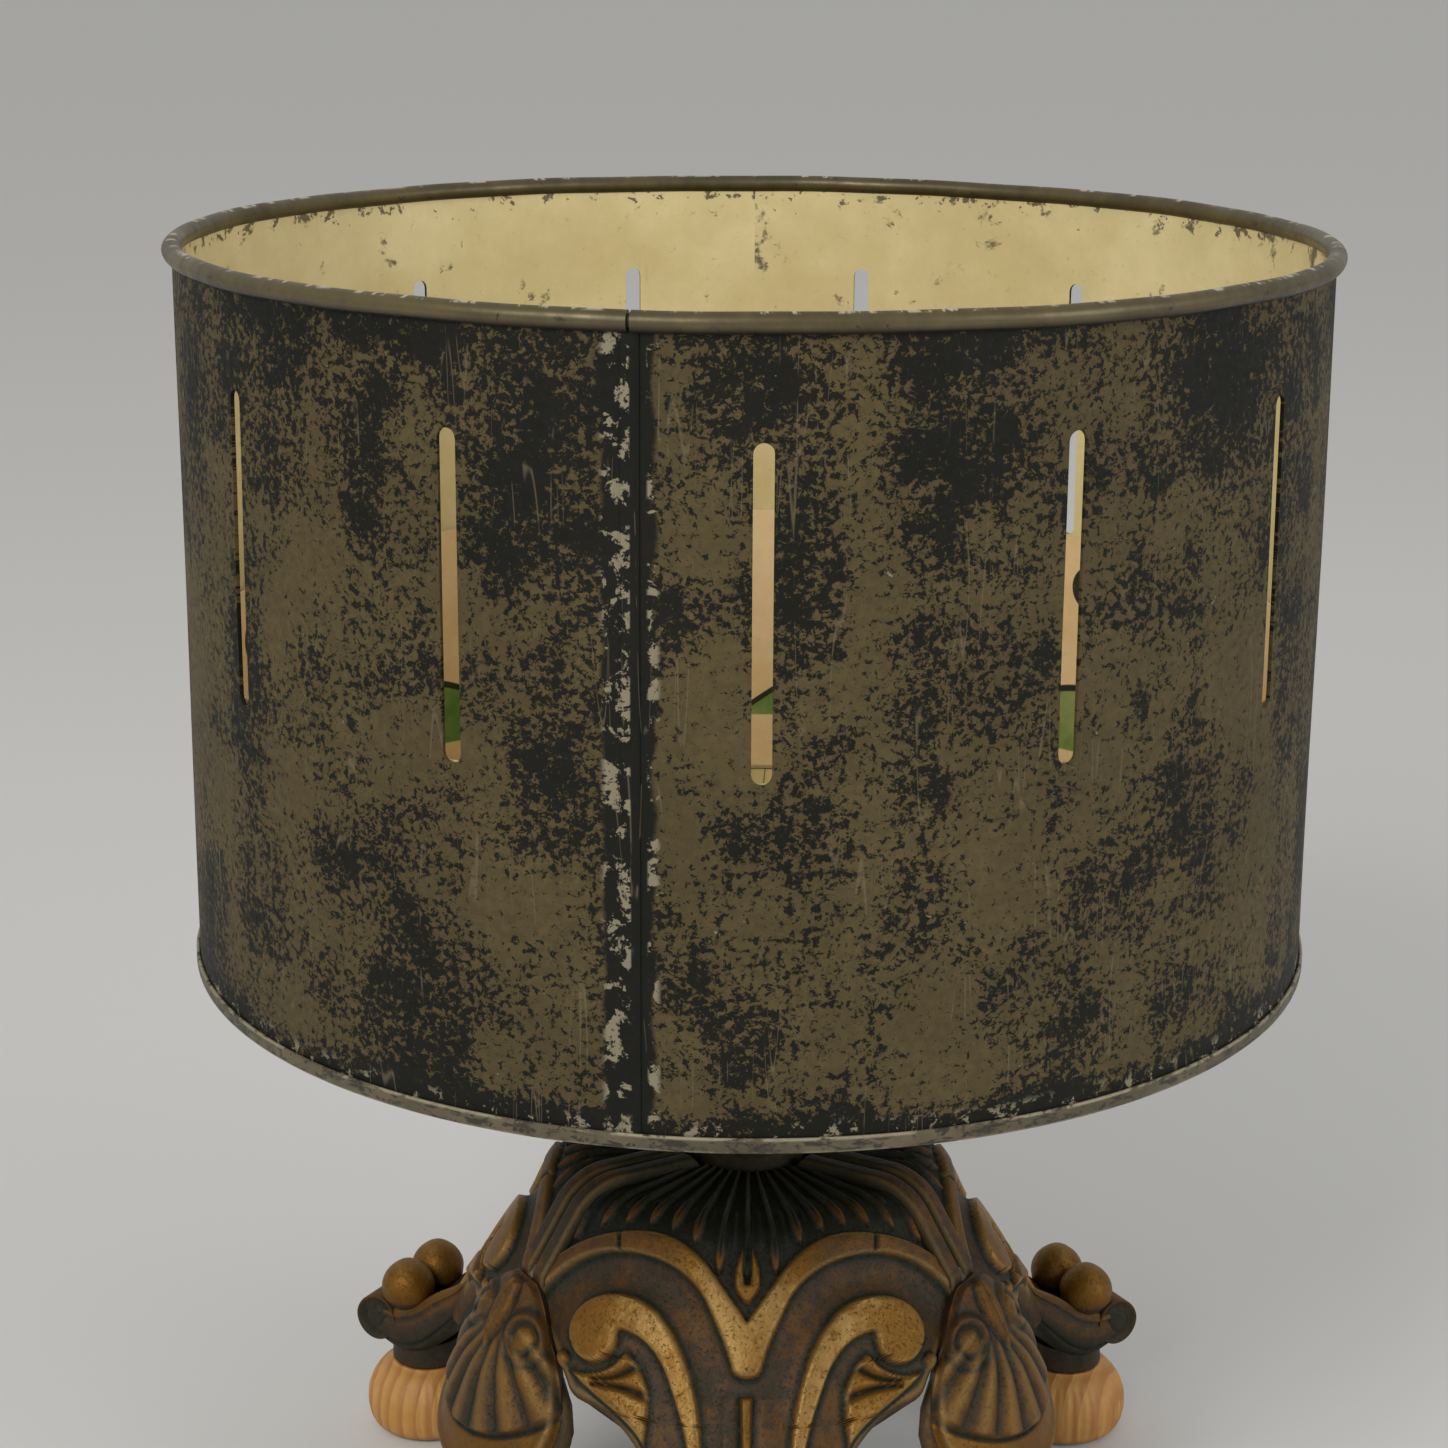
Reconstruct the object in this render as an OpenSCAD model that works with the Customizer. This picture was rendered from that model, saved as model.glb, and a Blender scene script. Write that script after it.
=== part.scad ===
// Zoetrope: a slotted tin drum on a spindle, over a cast base with three scrolled legs.
// +Z is up, the table is z = 0, the drum's axis is the Z axis and the front leg points to -Y.

/* [Drum] */
// Outer radius of the drum wall
drum_r = 150; // [135:1:165]
// Height of the drum, from the underside of its floor to the top of its rim
drum_h = 193; // [180:1:220]
// Thickness of the tinplate
sheet_t = 1; // [0.8:0.1:1.4]
// Radius of the wire rolled into the rim
rim_wire_r = 1.5; // [1.2:0.1:2]
// Height of the floor's turned-up edge
fold_h = 4; // [3:0.5:7]
// Number of viewing slots
slot_count = 13; // [10:1:14]
// Width of a viewing slot
slot_w = 4.7; // [4.3:0.1:6]
// Height of a viewing slot
slot_h = 77; // [60:1:80]
// Distance from the top of the rim down to the slots
slot_drop = 28.3; // [22:0.1:34]
// Azimuth of the first slot, from the front
slot_turn = 0.9; // [0:0.1:3]
// Azimuth of the lock seam, from the front
seam_turn = -10.2; // [-12:0.1:-8]
// Width of the lock seam
seam_w = 4.2; // [3:0.1:6]
// How far the lock seam stands out
seam_rise = 0.5; // [0.4:0.1:0.8]

/* [Picture strip] */
// Height of the picture strip
strip_h = 86; // [70:1:86]
// Thickness of the picture strip
strip_t = 0.7; // [0.5:0.1:1]
// Gap between the strip and the inside of the rolled rim
strip_gap = 0.4; // [0.3:0.1:0.8]

/* [Hub and spindle] */
// Radius of the spindle
spindle_r = 6; // [5:0.5:7]
// Radial running clearance of the bush on the spindle
running_gap = 0.05; // [0.03:0.01:0.08]
// End play between the hub and the washers above and below it
end_play = 0.3; // [0.2:0.05:0.4]
// Wall of the brass bush
bush_wall = 3; // [2:0.5:4]
// Radius of the hub flange under the floor
flange_r = 32; // [28:1:40]
// Thickness of the hub flange
flange_t = 3; // [2:0.5:4]
// Wall of the hub flange's boss round the bush
boss_wall = 4; // [3:0.5:6]
// Length of the boss below the flange
boss_h = 10; // [6:1:12]
// Radius of the stiffening plate above the floor
plate_r = 36; // [32:1:44]
// Thickness of the stiffening plate
plate_t = 2; // [1.5:0.5:3]
// Number of hub rivets
rivet_count = 6; // [4:1:8]
// Radius of a rivet's shank
rivet_r = 2; // [1.5:0.25:2.5]
// Radius of the circle of rivets
rivet_circle_r = 24; // [21:1:26]
// Radius of the washers on the spindle
washer_r = 12; // [10:0.5:13]
// Thickness of the washers on the spindle
washer_t = 1.6; // [1:0.1:2.5]
// Radius of the acorn nut
nut_r = 9; // [8:0.5:11]
// Height of the nuts' straight part
nut_h = 6; // [4:0.5:8]

/* [Base castings] */
// Height of the base, from the table to the drum
base_h = 184; // [176:1:200]
// Height of the flat crown of the dome
crown_z = 118; // [114:1:122]
// Radius at which the crown starts to turn down
crown_r = 43.5; // [40:0.5:46]
// Radius of the dome's shoulder
shoulder_r = 14; // [10:0.5:16]
// Steepness of the dome's flank, in degrees below level
flank_angle = 57; // [55:0.5:59]
// Thickness of the castings
casting_t = 5; // [4:0.5:6]
// Height of the raised bands and scrolls
relief_h = 2.4; // [1.5:0.1:3]
// Height of the rays on the dome
ray_h = 1.4; // [0.8:0.1:2]
// Number of rays on each leg casting
ray_count = 15; // [9:2:19]
// Width of the strap over each joint
strap_w = 13; // [10:0.5:16]
// Thickness of the strap
strap_t = 3.4; // [3:0.1:4.5]
// Gap left between castings
joint_gap = 0.1; // [0.05:0.05:0.2]

/* [Neck] */
// Radius of the neck's foot ring
neck_foot_r = 17; // [15:0.5:20]
// Radius of the neck's waist
neck_waist_r = 10.5; // [9:0.5:12]
// Radius of the neck's head
neck_head_r = 14.5; // [13:0.5:17]
// Thickness of the collar on the spindle
collar_t = 3; // [2:0.5:4]
// Radius of the clamp plate inside the dome
clamp_r = 24; // [20:1:28]
// Thickness of the clamp plate
clamp_t = 5; // [4:0.5:7]

/* [Toes and feet] */
// Radius from the axis to the bun feet
foot_circle_r = 114; // [110:1:118]
// Radius of a bun foot
foot_r = 19; // [17:0.5:21]
// Height of a bun foot
foot_h = 22; // [20:0.5:23]
// Width of a toe at the ankle
toe_w = 27; // [24:0.5:30]
// Radius of the rolled tip of a toe
curl_r = 7; // [6:0.25:7.5]
// Radius of a berry on a toe
berry_r = 7.9; // [7.5:0.1:9]
// Radius of a foot screw's shank
foot_screw_r = 2.2; // [1.8:0.1:2.6]

/* [Joint screws] */
// Radius of the screws that hold the straps
joint_screw_r = 2; // [1.6:0.1:2.4]
// Thickness of the cleats inside the joints
cleat_t = 3; // [2:0.5:4]
// Length of the cleats across the joints
cleat_l = 26; // [20:1:32]
// Width of the cleats
cleat_w = 10; // [9:0.5:13]

/* [Hidden] */
$fn = 96;

// Clearance between pieces that are fixed together
fit = 0.05;
// Overlap of shapes that are fused, and the overrun of cuts
lap = 1;
leg_count = 3;
sector = 360 / leg_count;

// Drum levels and radii
floor_z = base_h;
wall_z = floor_z + sheet_t + fit;
rim_z = base_h + drum_h;
bead_r = rim_wire_r + sheet_t;
bead_z = rim_z - bead_r;
slot_top_z = rim_z - slot_drop;
strip_r = drum_r - bead_r - strip_gap;

// Hub and spindle levels
flange_z = floor_z - flange_t - fit;
boss_z = flange_z - boss_h;
bush_r = spindle_r + running_gap;
boss_bore_r = bush_r + bush_wall + fit;
thrust_z = boss_z - end_play - washer_t;
collar_z = thrust_z - collar_t;
plate_z = floor_z + sheet_t + fit;
bush_top_z = plate_z + plate_t;
top_washer_z = bush_top_z + end_play;
nut_z = top_washer_z + washer_t + fit;
spindle_bore_r = spindle_r + fit;
rivet_head_r = rivet_r * 2;
rivet_head_h = rivet_r * 0.8;

// Base levels
neck_z = crown_z + fit;
clamp_z = crown_z - casting_t - clamp_t - fit;
bottom_washer_z = clamp_z - washer_t - fit;
bottom_nut_z = bottom_washer_z - nut_h - fit;
spindle_end_z = bottom_nut_z - 3;
spindle_hole_r = spindle_r + 0.4;
shoulder_z = crown_z - shoulder_r;
skirt_z = 46;
// The flank is drawn in a few steps down its slope, which keeps its faces small
flank_steps = 4;

// The hanging leaf is part of a convex shell turned about its own upright axis
leaf_axis_r = 50;
leaf_t = 6;
leaf_back = 2;
leaf_seat_z = crown_z - 47.5;
leaf_rib_h = 1;

// Places of the joint screws along the strap: one through the crown, one through the flank
crown_screw_r = 36;
flank_screw_run = 20;
screw_head_r = joint_screw_r * 2.1;
screw_head_h = 2.4;

// Toe
pad_r = 11;
curl_pos = [124, 37.5];
berry_pos = [115.5, 48.4];
berry_apart = 7.6;
foot_screw_top_z = foot_h + 9;
foot_recess = 5;
screw_recess_r = foot_screw_r * 2.2;
foot_screw_head_h = 2.5;

// A point list along a cubic curve, without its last point
function curve(a, b, c, d, steps = 6) = [
    for (i = [0 : steps - 1]) let (t = i / steps, s = 1 - t)
        s * s * s * a + 3 * s * s * t * b + 3 * s * t * t * c + t * t * t * d];

function mirrored(pts) = [for (i = [len(pts) - 1 : -1 : 0]) [-pts[i][0], pts[i][1]]];

function reversed(pts) = [for (i = [len(pts) - 1 : -1 : 0]) pts[i]];

// The dome's outer line in (radius, height), moved outwards by off
function dome_line(off, from_r) = concat(
    [[from_r, crown_z + off]],
    [for (i = [0 : 5]) let (a = 90 - flank_angle * i / 5)
        [crown_r + (shoulder_r + off) * cos(a), shoulder_z + (shoulder_r + off) * sin(a)]],
    [let (a = 90 - flank_angle,
          r = crown_r + (shoulder_r + off) * cos(a),
          z = shoulder_z + (shoulder_r + off) * sin(a))
        for (i = [1 : flank_steps]) let (h = z + (skirt_z - z) * i / flank_steps)
            [r + (z - h) / tan(flank_angle), h]]);

// The dome's shell between two offsets from its outer line
module dome_shell(low, high, from_r = spindle_hole_r) {
    rotate_extrude()
        polygon(concat(dome_line(high, from_r), reversed(dome_line(low, from_r))));
}

// Stands a drawing on the flank at the front: x runs across, y runs up the slope from the crown's axis
module on_flank(depth = 200) {
    translate([0, 0, crown_z]) rotate([flank_angle, 0, 0])
        linear_extrude(depth, center = true) children();
}

// Stands a (radius, height) drawing in the upright plane through the axis and the front
module in_side_plane(width) {
    rotate([90, 0, -90]) linear_extrude(width, center = true) children();
}

module wedge(half_angle, reach = 200) {
    linear_extrude(base_h)
        polygon([[0, 0], reach * [-sin(half_angle), -cos(half_angle)],
            [0, -reach * 1.2], reach * [sin(half_angle), -cos(half_angle)]]);
}

module around(start = 0) {
    for (i = [0 : leg_count - 1]) rotate(start + i * sector) children();
}

// ---------------------------------------------------------------- drum

// A slot with round ends, cut outwards through the front of the wall
module slot_cutter() {
    r = slot_w / 2;
    ends = [[0, slot_top_z - r], [180, slot_top_z - slot_h + r]];
    rotate([90, 0, 0]) linear_extrude(drum_r + 10)
        polygon([for (end = ends) for (a = [0 : 15 : 180])
            [r * cos(a + end[0]), end[1] + r * sin(a + end[0])]]);
}

module drum_wall() {
    color("#5d5140") difference() {
        union() {
            rotate_extrude() difference() {
                union() {
                    translate([drum_r - sheet_t, wall_z]) square([sheet_t, bead_z - wall_z]);
                    translate([drum_r, bead_z]) circle(bead_r);
                }
                translate([drum_r, bead_z]) circle(rim_wire_r + fit);
            }
            rotate(seam_turn) translate([-seam_w / 2, -drum_r - seam_rise, floor_z + fold_h + lap])
                cube([seam_w, seam_rise + sheet_t / 2, drum_h - fold_h - bead_r * 2 - lap * 2]);
        }
        for (i = [0 : slot_count - 1]) rotate(slot_turn + i * 360 / slot_count) slot_cutter();
        // the roll of the rim stops short at the seam, and the wire shows there
        rotate(seam_turn) translate([-0.5, -drum_r - bead_r * 2, bead_z - rim_wire_r / 2])
            cube([1, bead_r * 2, bead_r * 2]);
    }
}

module rim_wire() {
    color("#8a8578") rotate_extrude() translate([drum_r, bead_z]) circle(rim_wire_r);
}

module drum_floor() {
    color("#6b604c") difference() {
        rotate_extrude() polygon([[boss_bore_r + fit, floor_z], [drum_r + fit + sheet_t, floor_z],
            [drum_r + fit + sheet_t, floor_z + fold_h], [drum_r + fit, floor_z + fold_h],
            [drum_r + fit, floor_z + sheet_t], [boss_bore_r + fit, floor_z + sheet_t]]);
        rivet_holes();
    }
}

module at_rivets() {
    for (i = [0 : rivet_count - 1]) rotate(i * 360 / rivet_count)
        translate([rivet_circle_r, 0, 0]) children();
}

module rivet_holes() {
    at_rivets() translate([0, 0, flange_z - lap])
        cylinder(h = bush_top_z - flange_z + lap * 2, r = rivet_r + fit);
}

module floor_plate() {
    color("#77705f") difference() {
        translate([0, 0, plate_z]) cylinder(h = plate_t, r = plate_r);
        translate([0, 0, plate_z - lap]) cylinder(h = plate_t + lap * 2, r = boss_bore_r + fit);
        rivet_holes();
    }
}

module hub_flange() {
    color("#4c4740") difference() {
        union() {
            translate([0, 0, flange_z]) cylinder(h = flange_t, r = flange_r);
            translate([0, 0, boss_z]) cylinder(h = boss_h + lap, r = boss_bore_r + boss_wall);
        }
        translate([0, 0, boss_z - lap]) cylinder(h = boss_h + flange_t + lap * 2, r = boss_bore_r);
        rivet_holes();
    }
}

module rivet() {
    low = flange_z - fit;
    high = bush_top_z + fit;
    rotate_extrude() polygon(concat(
        [[0, low - rivet_head_h]],
        [for (i = [1 : 4]) [rivet_head_r * sin(i * 22.5), low - rivet_head_h * cos(i * 22.5)]],
        [[rivet_r, low], [rivet_r, high]],
        [for (i = [4 : -1 : 1]) [rivet_head_r * sin(i * 22.5), high + rivet_head_h * cos(i * 22.5)]],
        [[0, high + rivet_head_h]]));
}

module hub_rivets() {
    color("#9a917c") at_rivets() rivet();
}

module hub_bush() {
    color("#b08d4a") rotate_extrude()
        translate([bush_r, boss_z]) square([bush_wall, bush_top_z - boss_z]);
}

module picture_strip() {
    color("#d8c292") rotate_extrude()
        translate([strip_r - strip_t, floor_z + sheet_t + end_play]) square([strip_t, strip_h]);
}

// ------------------------------------------------------ spindle and neck

module ring(z, h, outer, inner) {
    rotate_extrude() translate([inner, z]) square([outer - inner, h]);
}

module spindle() {
    color("#8d8a84") {
        translate([0, 0, spindle_end_z]) cylinder(h = nut_z + nut_h - spindle_end_z, r = spindle_r);
        translate([0, 0, collar_z]) cylinder(h = collar_t, r = washer_r);
    }
}

module thrust_washer() {
    color("#b08d4a") ring(thrust_z + fit, washer_t - fit, washer_r, spindle_bore_r);
}

module top_washer() {
    color("#b08d4a") ring(top_washer_z, washer_t, washer_r, spindle_bore_r);
}

module spindle_nut() {
    dome_h = nut_r * 0.55;
    color("#9a7d45") difference() {
        union() {
            translate([0, 0, nut_z]) cylinder(h = nut_h, r = nut_r, $fn = 6);
            translate([0, 0, nut_z + nut_h - fit]) rotate_extrude() polygon(concat([[0, 0]],
                [for (i = [0 : 5]) [nut_r * 0.82 * cos(i * 18), dome_h * sin(i * 18)]]));
        }
        translate([0, 0, nut_z - lap]) cylinder(h = nut_h + lap + fit, r = spindle_bore_r);
    }
}

module neck_pillar() {
    head_z = collar_z - fit;
    color("#3f392b") rotate_extrude() polygon(concat(
        [[spindle_bore_r, neck_z], [neck_foot_r, neck_z], [neck_foot_r, neck_z + 4],
            [neck_foot_r - 2.5, neck_z + 6]],
        curve([neck_foot_r - 3, neck_z + 8], [neck_waist_r, neck_z + 10],
            [neck_waist_r, head_z - 16], [neck_head_r - 2, head_z - 7]),
        [[neck_head_r - 2, head_z - 6], [neck_head_r, head_z - 4], [neck_head_r, head_z],
            [spindle_bore_r, head_z]]));
}

module clamp_plate() {
    color("#4c4740") ring(clamp_z, clamp_t, clamp_r, spindle_bore_r);
}

module bottom_washer() {
    color("#8d8a84") ring(bottom_washer_z, washer_t, washer_r, spindle_bore_r);
}

module bottom_nut() {
    color("#8d8a84") difference() {
        translate([0, 0, bottom_nut_z]) cylinder(h = nut_h, r = nut_r, $fn = 6);
        translate([0, 0, bottom_nut_z - lap]) cylinder(h = nut_h + lap * 2, r = spindle_bore_r);
    }
}

// ---------------------------------------------------------- leg castings
// Drawings on the flank: x across the leg, and distance down the slope, turned over by down()

module down(pts) {
    polygon([for (p = pts) [p[0], -p[1]]]);
}

// Edge of the leg casting: under the strap, round the top of the arch, and down the leg
leg_edge = concat([[80, -5], [80, 30]],
    curve([66, 42], [58, 50], [52.5, 60], [49.5, 68]),
    curve([49.5, 68], [48.5, 71], [45, 72.5], [42, 73.6], 3),
    curve([42, 73.6], [34, 77.5], [28.5, 86], [24, 96]),
    curve([24, 96], [20.5, 103], [14.5, 108], [12.8, 116], 4), [[12.6, 118]]);

// Upper and lower edges of one half of the arched band, from the strap to the foot of its V
band_top = concat(curve([64, 46], [54, 33], [44, 28], [33, 28]),
    curve([33, 28], [22, 28], [15, 31], [8, 41]), [[0, 52.5]]);
band_low = concat([[61, 51]], curve([59.5, 48.5], [53, 40], [46, 34], [36, 33.8]),
    curve([36, 33.8], [24, 34], [15, 40], [11, 47.5]),
    curve([11, 47.5], [8.5, 53], [5.5, 59], [4, 65], 4),
    curve([4, 65], [3.4, 67], [1.5, 67.6], [0, 67.6], 3), [[0, 67.6]]);

// The comma scroll: up the outer edge of its arm, round its bulb, into the notch and down again
comma = concat([[8.5, 104]],
    curve([11.4, 85], [12.4, 72], [15.5, 60], [22.5, 50.8]),
    curve([22.5, 50.8], [26.5, 46.6], [31, 44.6], [36.6, 44.6], 4),
    curve([36.6, 44.6], [42.5, 44.6], [47.2, 49.5], [47.1, 54.5], 4),
    curve([47.1, 54.5], [47, 59.5], [43.5, 62.9], [40, 62.9], 4),
    curve([40, 62.9], [36.5, 62.9], [34, 59.5], [34.2, 56.4], 4),
    curve([33.6, 54.6], [28, 55.5], [23.5, 60], [20.8, 67.5]),
    curve([20.8, 67.5], [18.6, 73.5], [16.5, 80], [15.6, 85], 4), [[11.5, 104]]);

// The three blades of the fan under the bulb
fan = concat([[34.5, 63], [31.8, 60.2]],
    curve([31.8, 60.2], [27, 64], [24.6, 70], [25.8, 76.5]), [[27.2, 81.5]],
    curve([27.2, 81.5], [31, 74.5], [41, 69], [45.6, 61.5]),
    curve([45.6, 61.5], [44, 64.4], [39.5, 66.4], [34.5, 63], 3));
fan_cuts = [[[38.4, 66.2], [28.2, 62.2], [26.9, 64.6]], [[37.2, 67.9], [24.2, 70.6], [24.6, 74.2]]];

tongue_foot = [0, 46.8];
tongue_half = concat(curve([0, 33], [1.6, 36], [2.9, 39.5], [2.6, 42.5], 4),
    curve([2.6, 42.5], [2.2, 44.6], [1, 45.6], tongue_foot, 3));
bar = [[1.6, 72], [1, 104], [-1, 104], [-1.6, 72]];

module both_sides(pts) {
    down(pts);
    mirror([1, 0]) down(pts);
}

module leg_outline() {
    down(concat(leg_edge, mirrored(leg_edge)));
}

module band_outline() {
    down(concat(band_top, mirrored(band_top), reversed(mirrored(band_low)), reversed(band_low)));
}

module scroll_outlines() {
    both_sides(comma);
    difference() {
        both_sides(fan);
        for (cut = fan_cuts) both_sides(cut);
    }
    down(bar);
}

// Narrow rays from the neck outwards, as seen from above
module ray_plan() {
    pitch = sector / (ray_count + 1);
    reach = 90;
    for (i = [1 : ray_count]) rotate(i * pitch - sector / 2)
        polygon([[-0.4, -neck_foot_r - 2], [0.4, -neck_foot_r - 2],
            reach * [sin(pitch * 0.31), -1], reach * [-sin(pitch * 0.31), -1]]);
}

// Where rays stop: along the band, and beside the straps
module ray_limits() {
    on_flank() down(concat([[90, 200], [90, 60]], [for (p = band_top) p - [0, 2.2]],
        [for (p = mirrored(band_top)) p - [0, 2.2]], [[-90, 60], [-90, 200]]));
    for (side = [-1, 1]) rotate(side * sector / 2)
        translate([-strap_w / 2 - 0.8, -200, 0]) cube([strap_w + 1.6, 200, base_h]);
}

module toe_plan() {
    half = toe_w / 2;
    side = concat(curve([half + 2, -70], [half + 1, -86], [half - 2, -94], [half - 1.5, -101]),
        curve([half - 1.5, -101], [half - 1, -108], [half + 1.5, -114], [half, -121]),
        [[half, -121], [half - 1, -138]]);
    linear_extrude(base_h) polygon(concat(side, mirrored(side)));
}

module toe_side() {
    top = concat([[80, 70]], curve([88, 61.5], [91, 58.4], [93.5, 55.2], [97, 53.2], 4),
        curve([97, 53.2], [101, 51], [104, 49.4], [107.5, 46.4], 5),
        curve([107.5, 46.4], [111, 43], [115, 42], [119.5, 41], 5));
    under = concat(curve([123, curl_pos[1] - curl_r + 0.2], [117.5, 27.6], [112, 26.6], [106.5, 30.4]),
        curve([106.5, 30.4], [99.5, 36], [93, 46], [84, 58]), [[80, 64]]);
    polygon(concat(top, [curl_pos + [0, 2.5]], under));
    translate(curl_pos) circle(curl_r);
}

module toe() {
    intersection() {
        in_side_plane(toe_w * 2) toe_side();
        toe_plan();
    }
    // the roll's eyes stand out a little at both ends
    translate([0, -curl_pos[0], curl_pos[1]]) rotate([0, 90, 0])
        cylinder(h = toe_w + 0.6, r = curl_r * 0.5, center = true);
    for (side = [-1, 1])
        translate([side * berry_apart, -berry_pos[0], berry_pos[1]]) sphere(berry_r);
    translate([0, -foot_circle_r, foot_h + fit]) cylinder(h = 8, r = pad_r);
}

module leg() {
    color("#8a6a3e") difference() {
        union() {
            intersection() {
                union() {
                    intersection() {
                        dome_shell(-casting_t, 0);
                        on_flank() leg_outline();
                    }
                    intersection() {
                        dome_shell(-lap, relief_h);
                        on_flank() {
                            band_outline();
                            scroll_outlines();
                        }
                    }
                    intersection() {
                        dome_shell(-lap, relief_h, crown_r);
                        on_flank() down(concat(tongue_half, [tongue_foot], mirrored(tongue_half)));
                    }
                    difference() {
                        intersection() {
                            dome_shell(-lap, ray_h);
                            linear_extrude(base_h) ray_plan();
                        }
                        ray_limits();
                    }
                }
                wedge(sector / 2 - joint_gap / 2);
            }
            toe();
        }
        // clear of the straps' undersides, and drilled for the joint screws and the foot screw
        for (side = [-1, 1]) rotate(side * sector / 2) {
            joint_screw_holes(joint_screw_r + 0.2);
            strap_bed();
            leaf_bed();
        }
        translate([0, -foot_circle_r, 0]) cylinder(h = foot_screw_top_z, r = foot_screw_r + fit);
    }
}

// ------------------------------------------------ straps with their leaves

// The space that a strap fills above the dome, with its clearance
module strap_bed() {
    intersection() {
        dome_shell(-joint_gap, strap_t * 2, crown_r / 3);
        translate([-strap_w / 2 - joint_gap, -200, 0]) cube([strap_w + joint_gap * 2, 200, base_h]);
    }
}

// The relief stops round the upper part of the leaf that lies on it
module leaf_bed() {
    half = [[0, 56.2], [5.4, 56.2], [10.4, 57.9], [15.4, 63], [22.6, 70.2], [26, 74], [26, 80], [0, 80]];
    intersection() {
        dome_shell(-joint_gap, strap_t * 2, crown_r);
        on_flank() down(concat(half, mirrored(half)));
    }
}

leaf_half = concat([[0, 57]], curve([5, 57], [10, 58], [15, 64], [22, 71]),
    curve([22, 71], [27.5, 77.5], [29.5, 84], [29.5, 90]),
    curve([29.5, 90], [29.5, 99], [21, 111], [0, 113.5]), [[0, 113.5]]);
leaf_backing_half = concat([[0, 70]], curve([18, 70], [27, 74.5], [32.5, 82], [32.5, 91]),
    curve([32.5, 91], [32.5, 102], [23, 113.5], [0, 116]), [[0, 116]]);

// The leaf's convex surface in (radius from its own axis, height), moved outwards by off
function leaf_line(off) = concat(
    curve([21 + off, 97], [27 + off, 88], [33 + off, 78], [37 + off, 68]),
    curve([37 + off, 68], [40.5 + off, 59], [43.5 + off, 50], [43.8 + off, 36]), [[43.8 + off, 36]]);

module leaf_shell(low, high) {
    translate([0, -leaf_axis_r, 0]) rotate_extrude()
        polygon(concat(leaf_line(high), reversed(leaf_line(low))));
}

// The fluted fan on the leaf: two scrolls, a top petal and ribs spreading downwards
module leaf_ribs() {
    root = [0, -68];
    for (i = [-3 : 3]) translate(root) rotate(i * 17)
        polygon([[-0.5, -9], [0.5, -9], [2.6, -30 - 3 * cos(i * 40)], [-2.6, -30 - 3 * cos(i * 40)]]);
    for (side = [-1, 1]) translate([side * 12.5, -69]) difference() {
        circle(5.2);
        circle(2);
    }
    translate([0, -64]) circle(3.6);
}

module strap() {
    half = strap_w / 2;
    color("#8a6a3e") difference() {
        union() {
            difference() {
                intersection() {
                    dome_shell(joint_gap, strap_t, neck_foot_r + 1.5);
                    translate([-half, -73, 0]) cube([strap_w, 73 - neck_foot_r, base_h]);
                }
                intersection() {
                    dome_shell(strap_t - 1.2, strap_t * 2, neck_foot_r);
                    translate([-1.3, -63, 0]) cube([2.6, 63 - neck_foot_r - 4, base_h]);
                }
            }
            difference() {
                union() {
                    intersection() {
                        leaf_shell(-leaf_t, 0);
                        on_flank() down(concat(leaf_half, mirrored(leaf_half)));
                        translate([-100, -150, 0]) cube([200, 100, base_h]);
                    }
                    intersection() {
                        leaf_shell(-leaf_t, -leaf_back);
                        on_flank() down(concat(leaf_backing_half, mirrored(leaf_backing_half)));
                        translate([-100, -150, 0]) cube([200, 100, base_h]);
                    }
                    intersection() {
                        leaf_shell(-lap, leaf_rib_h);
                        on_flank() leaf_ribs();
                        translate([-100, -150, 0]) cube([200, 100, base_h]);
                    }
                }
                // the leaf's upper part is hollowed to lie on the dome
                intersection() {
                    rotate_extrude() polygon(concat([[0, crown_z]], dome_line(joint_gap, 1),
                        [[0, skirt_z]]));
                    translate([-100, -100, leaf_seat_z]) cube([200, 100, base_h]);
                }
            }
        }
        joint_screw_holes(joint_screw_r + fit);
    }
}

// --------------------------------------------------- joint screws, cleats

// Puts children at both screw places of the front joint line, +Z pointing out of the dome
module at_joint_screws() {
    translate([0, -crown_screw_r, crown_z]) children();
    translate([0, -crown_r - shoulder_r * sin(flank_angle), shoulder_z + shoulder_r * cos(flank_angle)])
        rotate([flank_angle, 0, 0]) translate([0, -flank_screw_run, 0]) children();
}

module joint_screw_holes(r) {
    tip = strap_t - 1.2 - fit;
    at_joint_screws() translate([0, 0, -casting_t - lap])
        cylinder(h = casting_t + lap + tip, r = r);
}

module joint_cleats() {
    color("#4c4740") difference() {
        around(sector / 2) at_joint_screws() difference() {
            translate([-cleat_l / 2, -cleat_w / 2, -casting_t - cleat_t - 0.4])
                cube([cleat_l, cleat_w, cleat_t]);
            translate([0, 0, -casting_t - cleat_t - lap])
                cylinder(h = cleat_t + lap * 2, r = joint_screw_r + fit);
        }
        // their tops are filed to the casting's round inside
        dome_shell(-casting_t - 0.3, 0);
    }
}

module joint_screws() {
    under = -casting_t - cleat_t - 0.4 - fit;
    tip = strap_t - 1.2 - fit * 3;
    color("#8d8a84") around(sector / 2) at_joint_screws() difference() {
        union() {
            translate([0, 0, under]) cylinder(h = tip - under, r = joint_screw_r);
            translate([0, 0, under - screw_head_h]) cylinder(h = screw_head_h, r = screw_head_r);
        }
        translate([-screw_head_r, -0.5, under - screw_head_h - 1]) cube([screw_head_r * 2, 1, 2]);
    }
}

// -------------------------------------------------------------- bun feet

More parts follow.
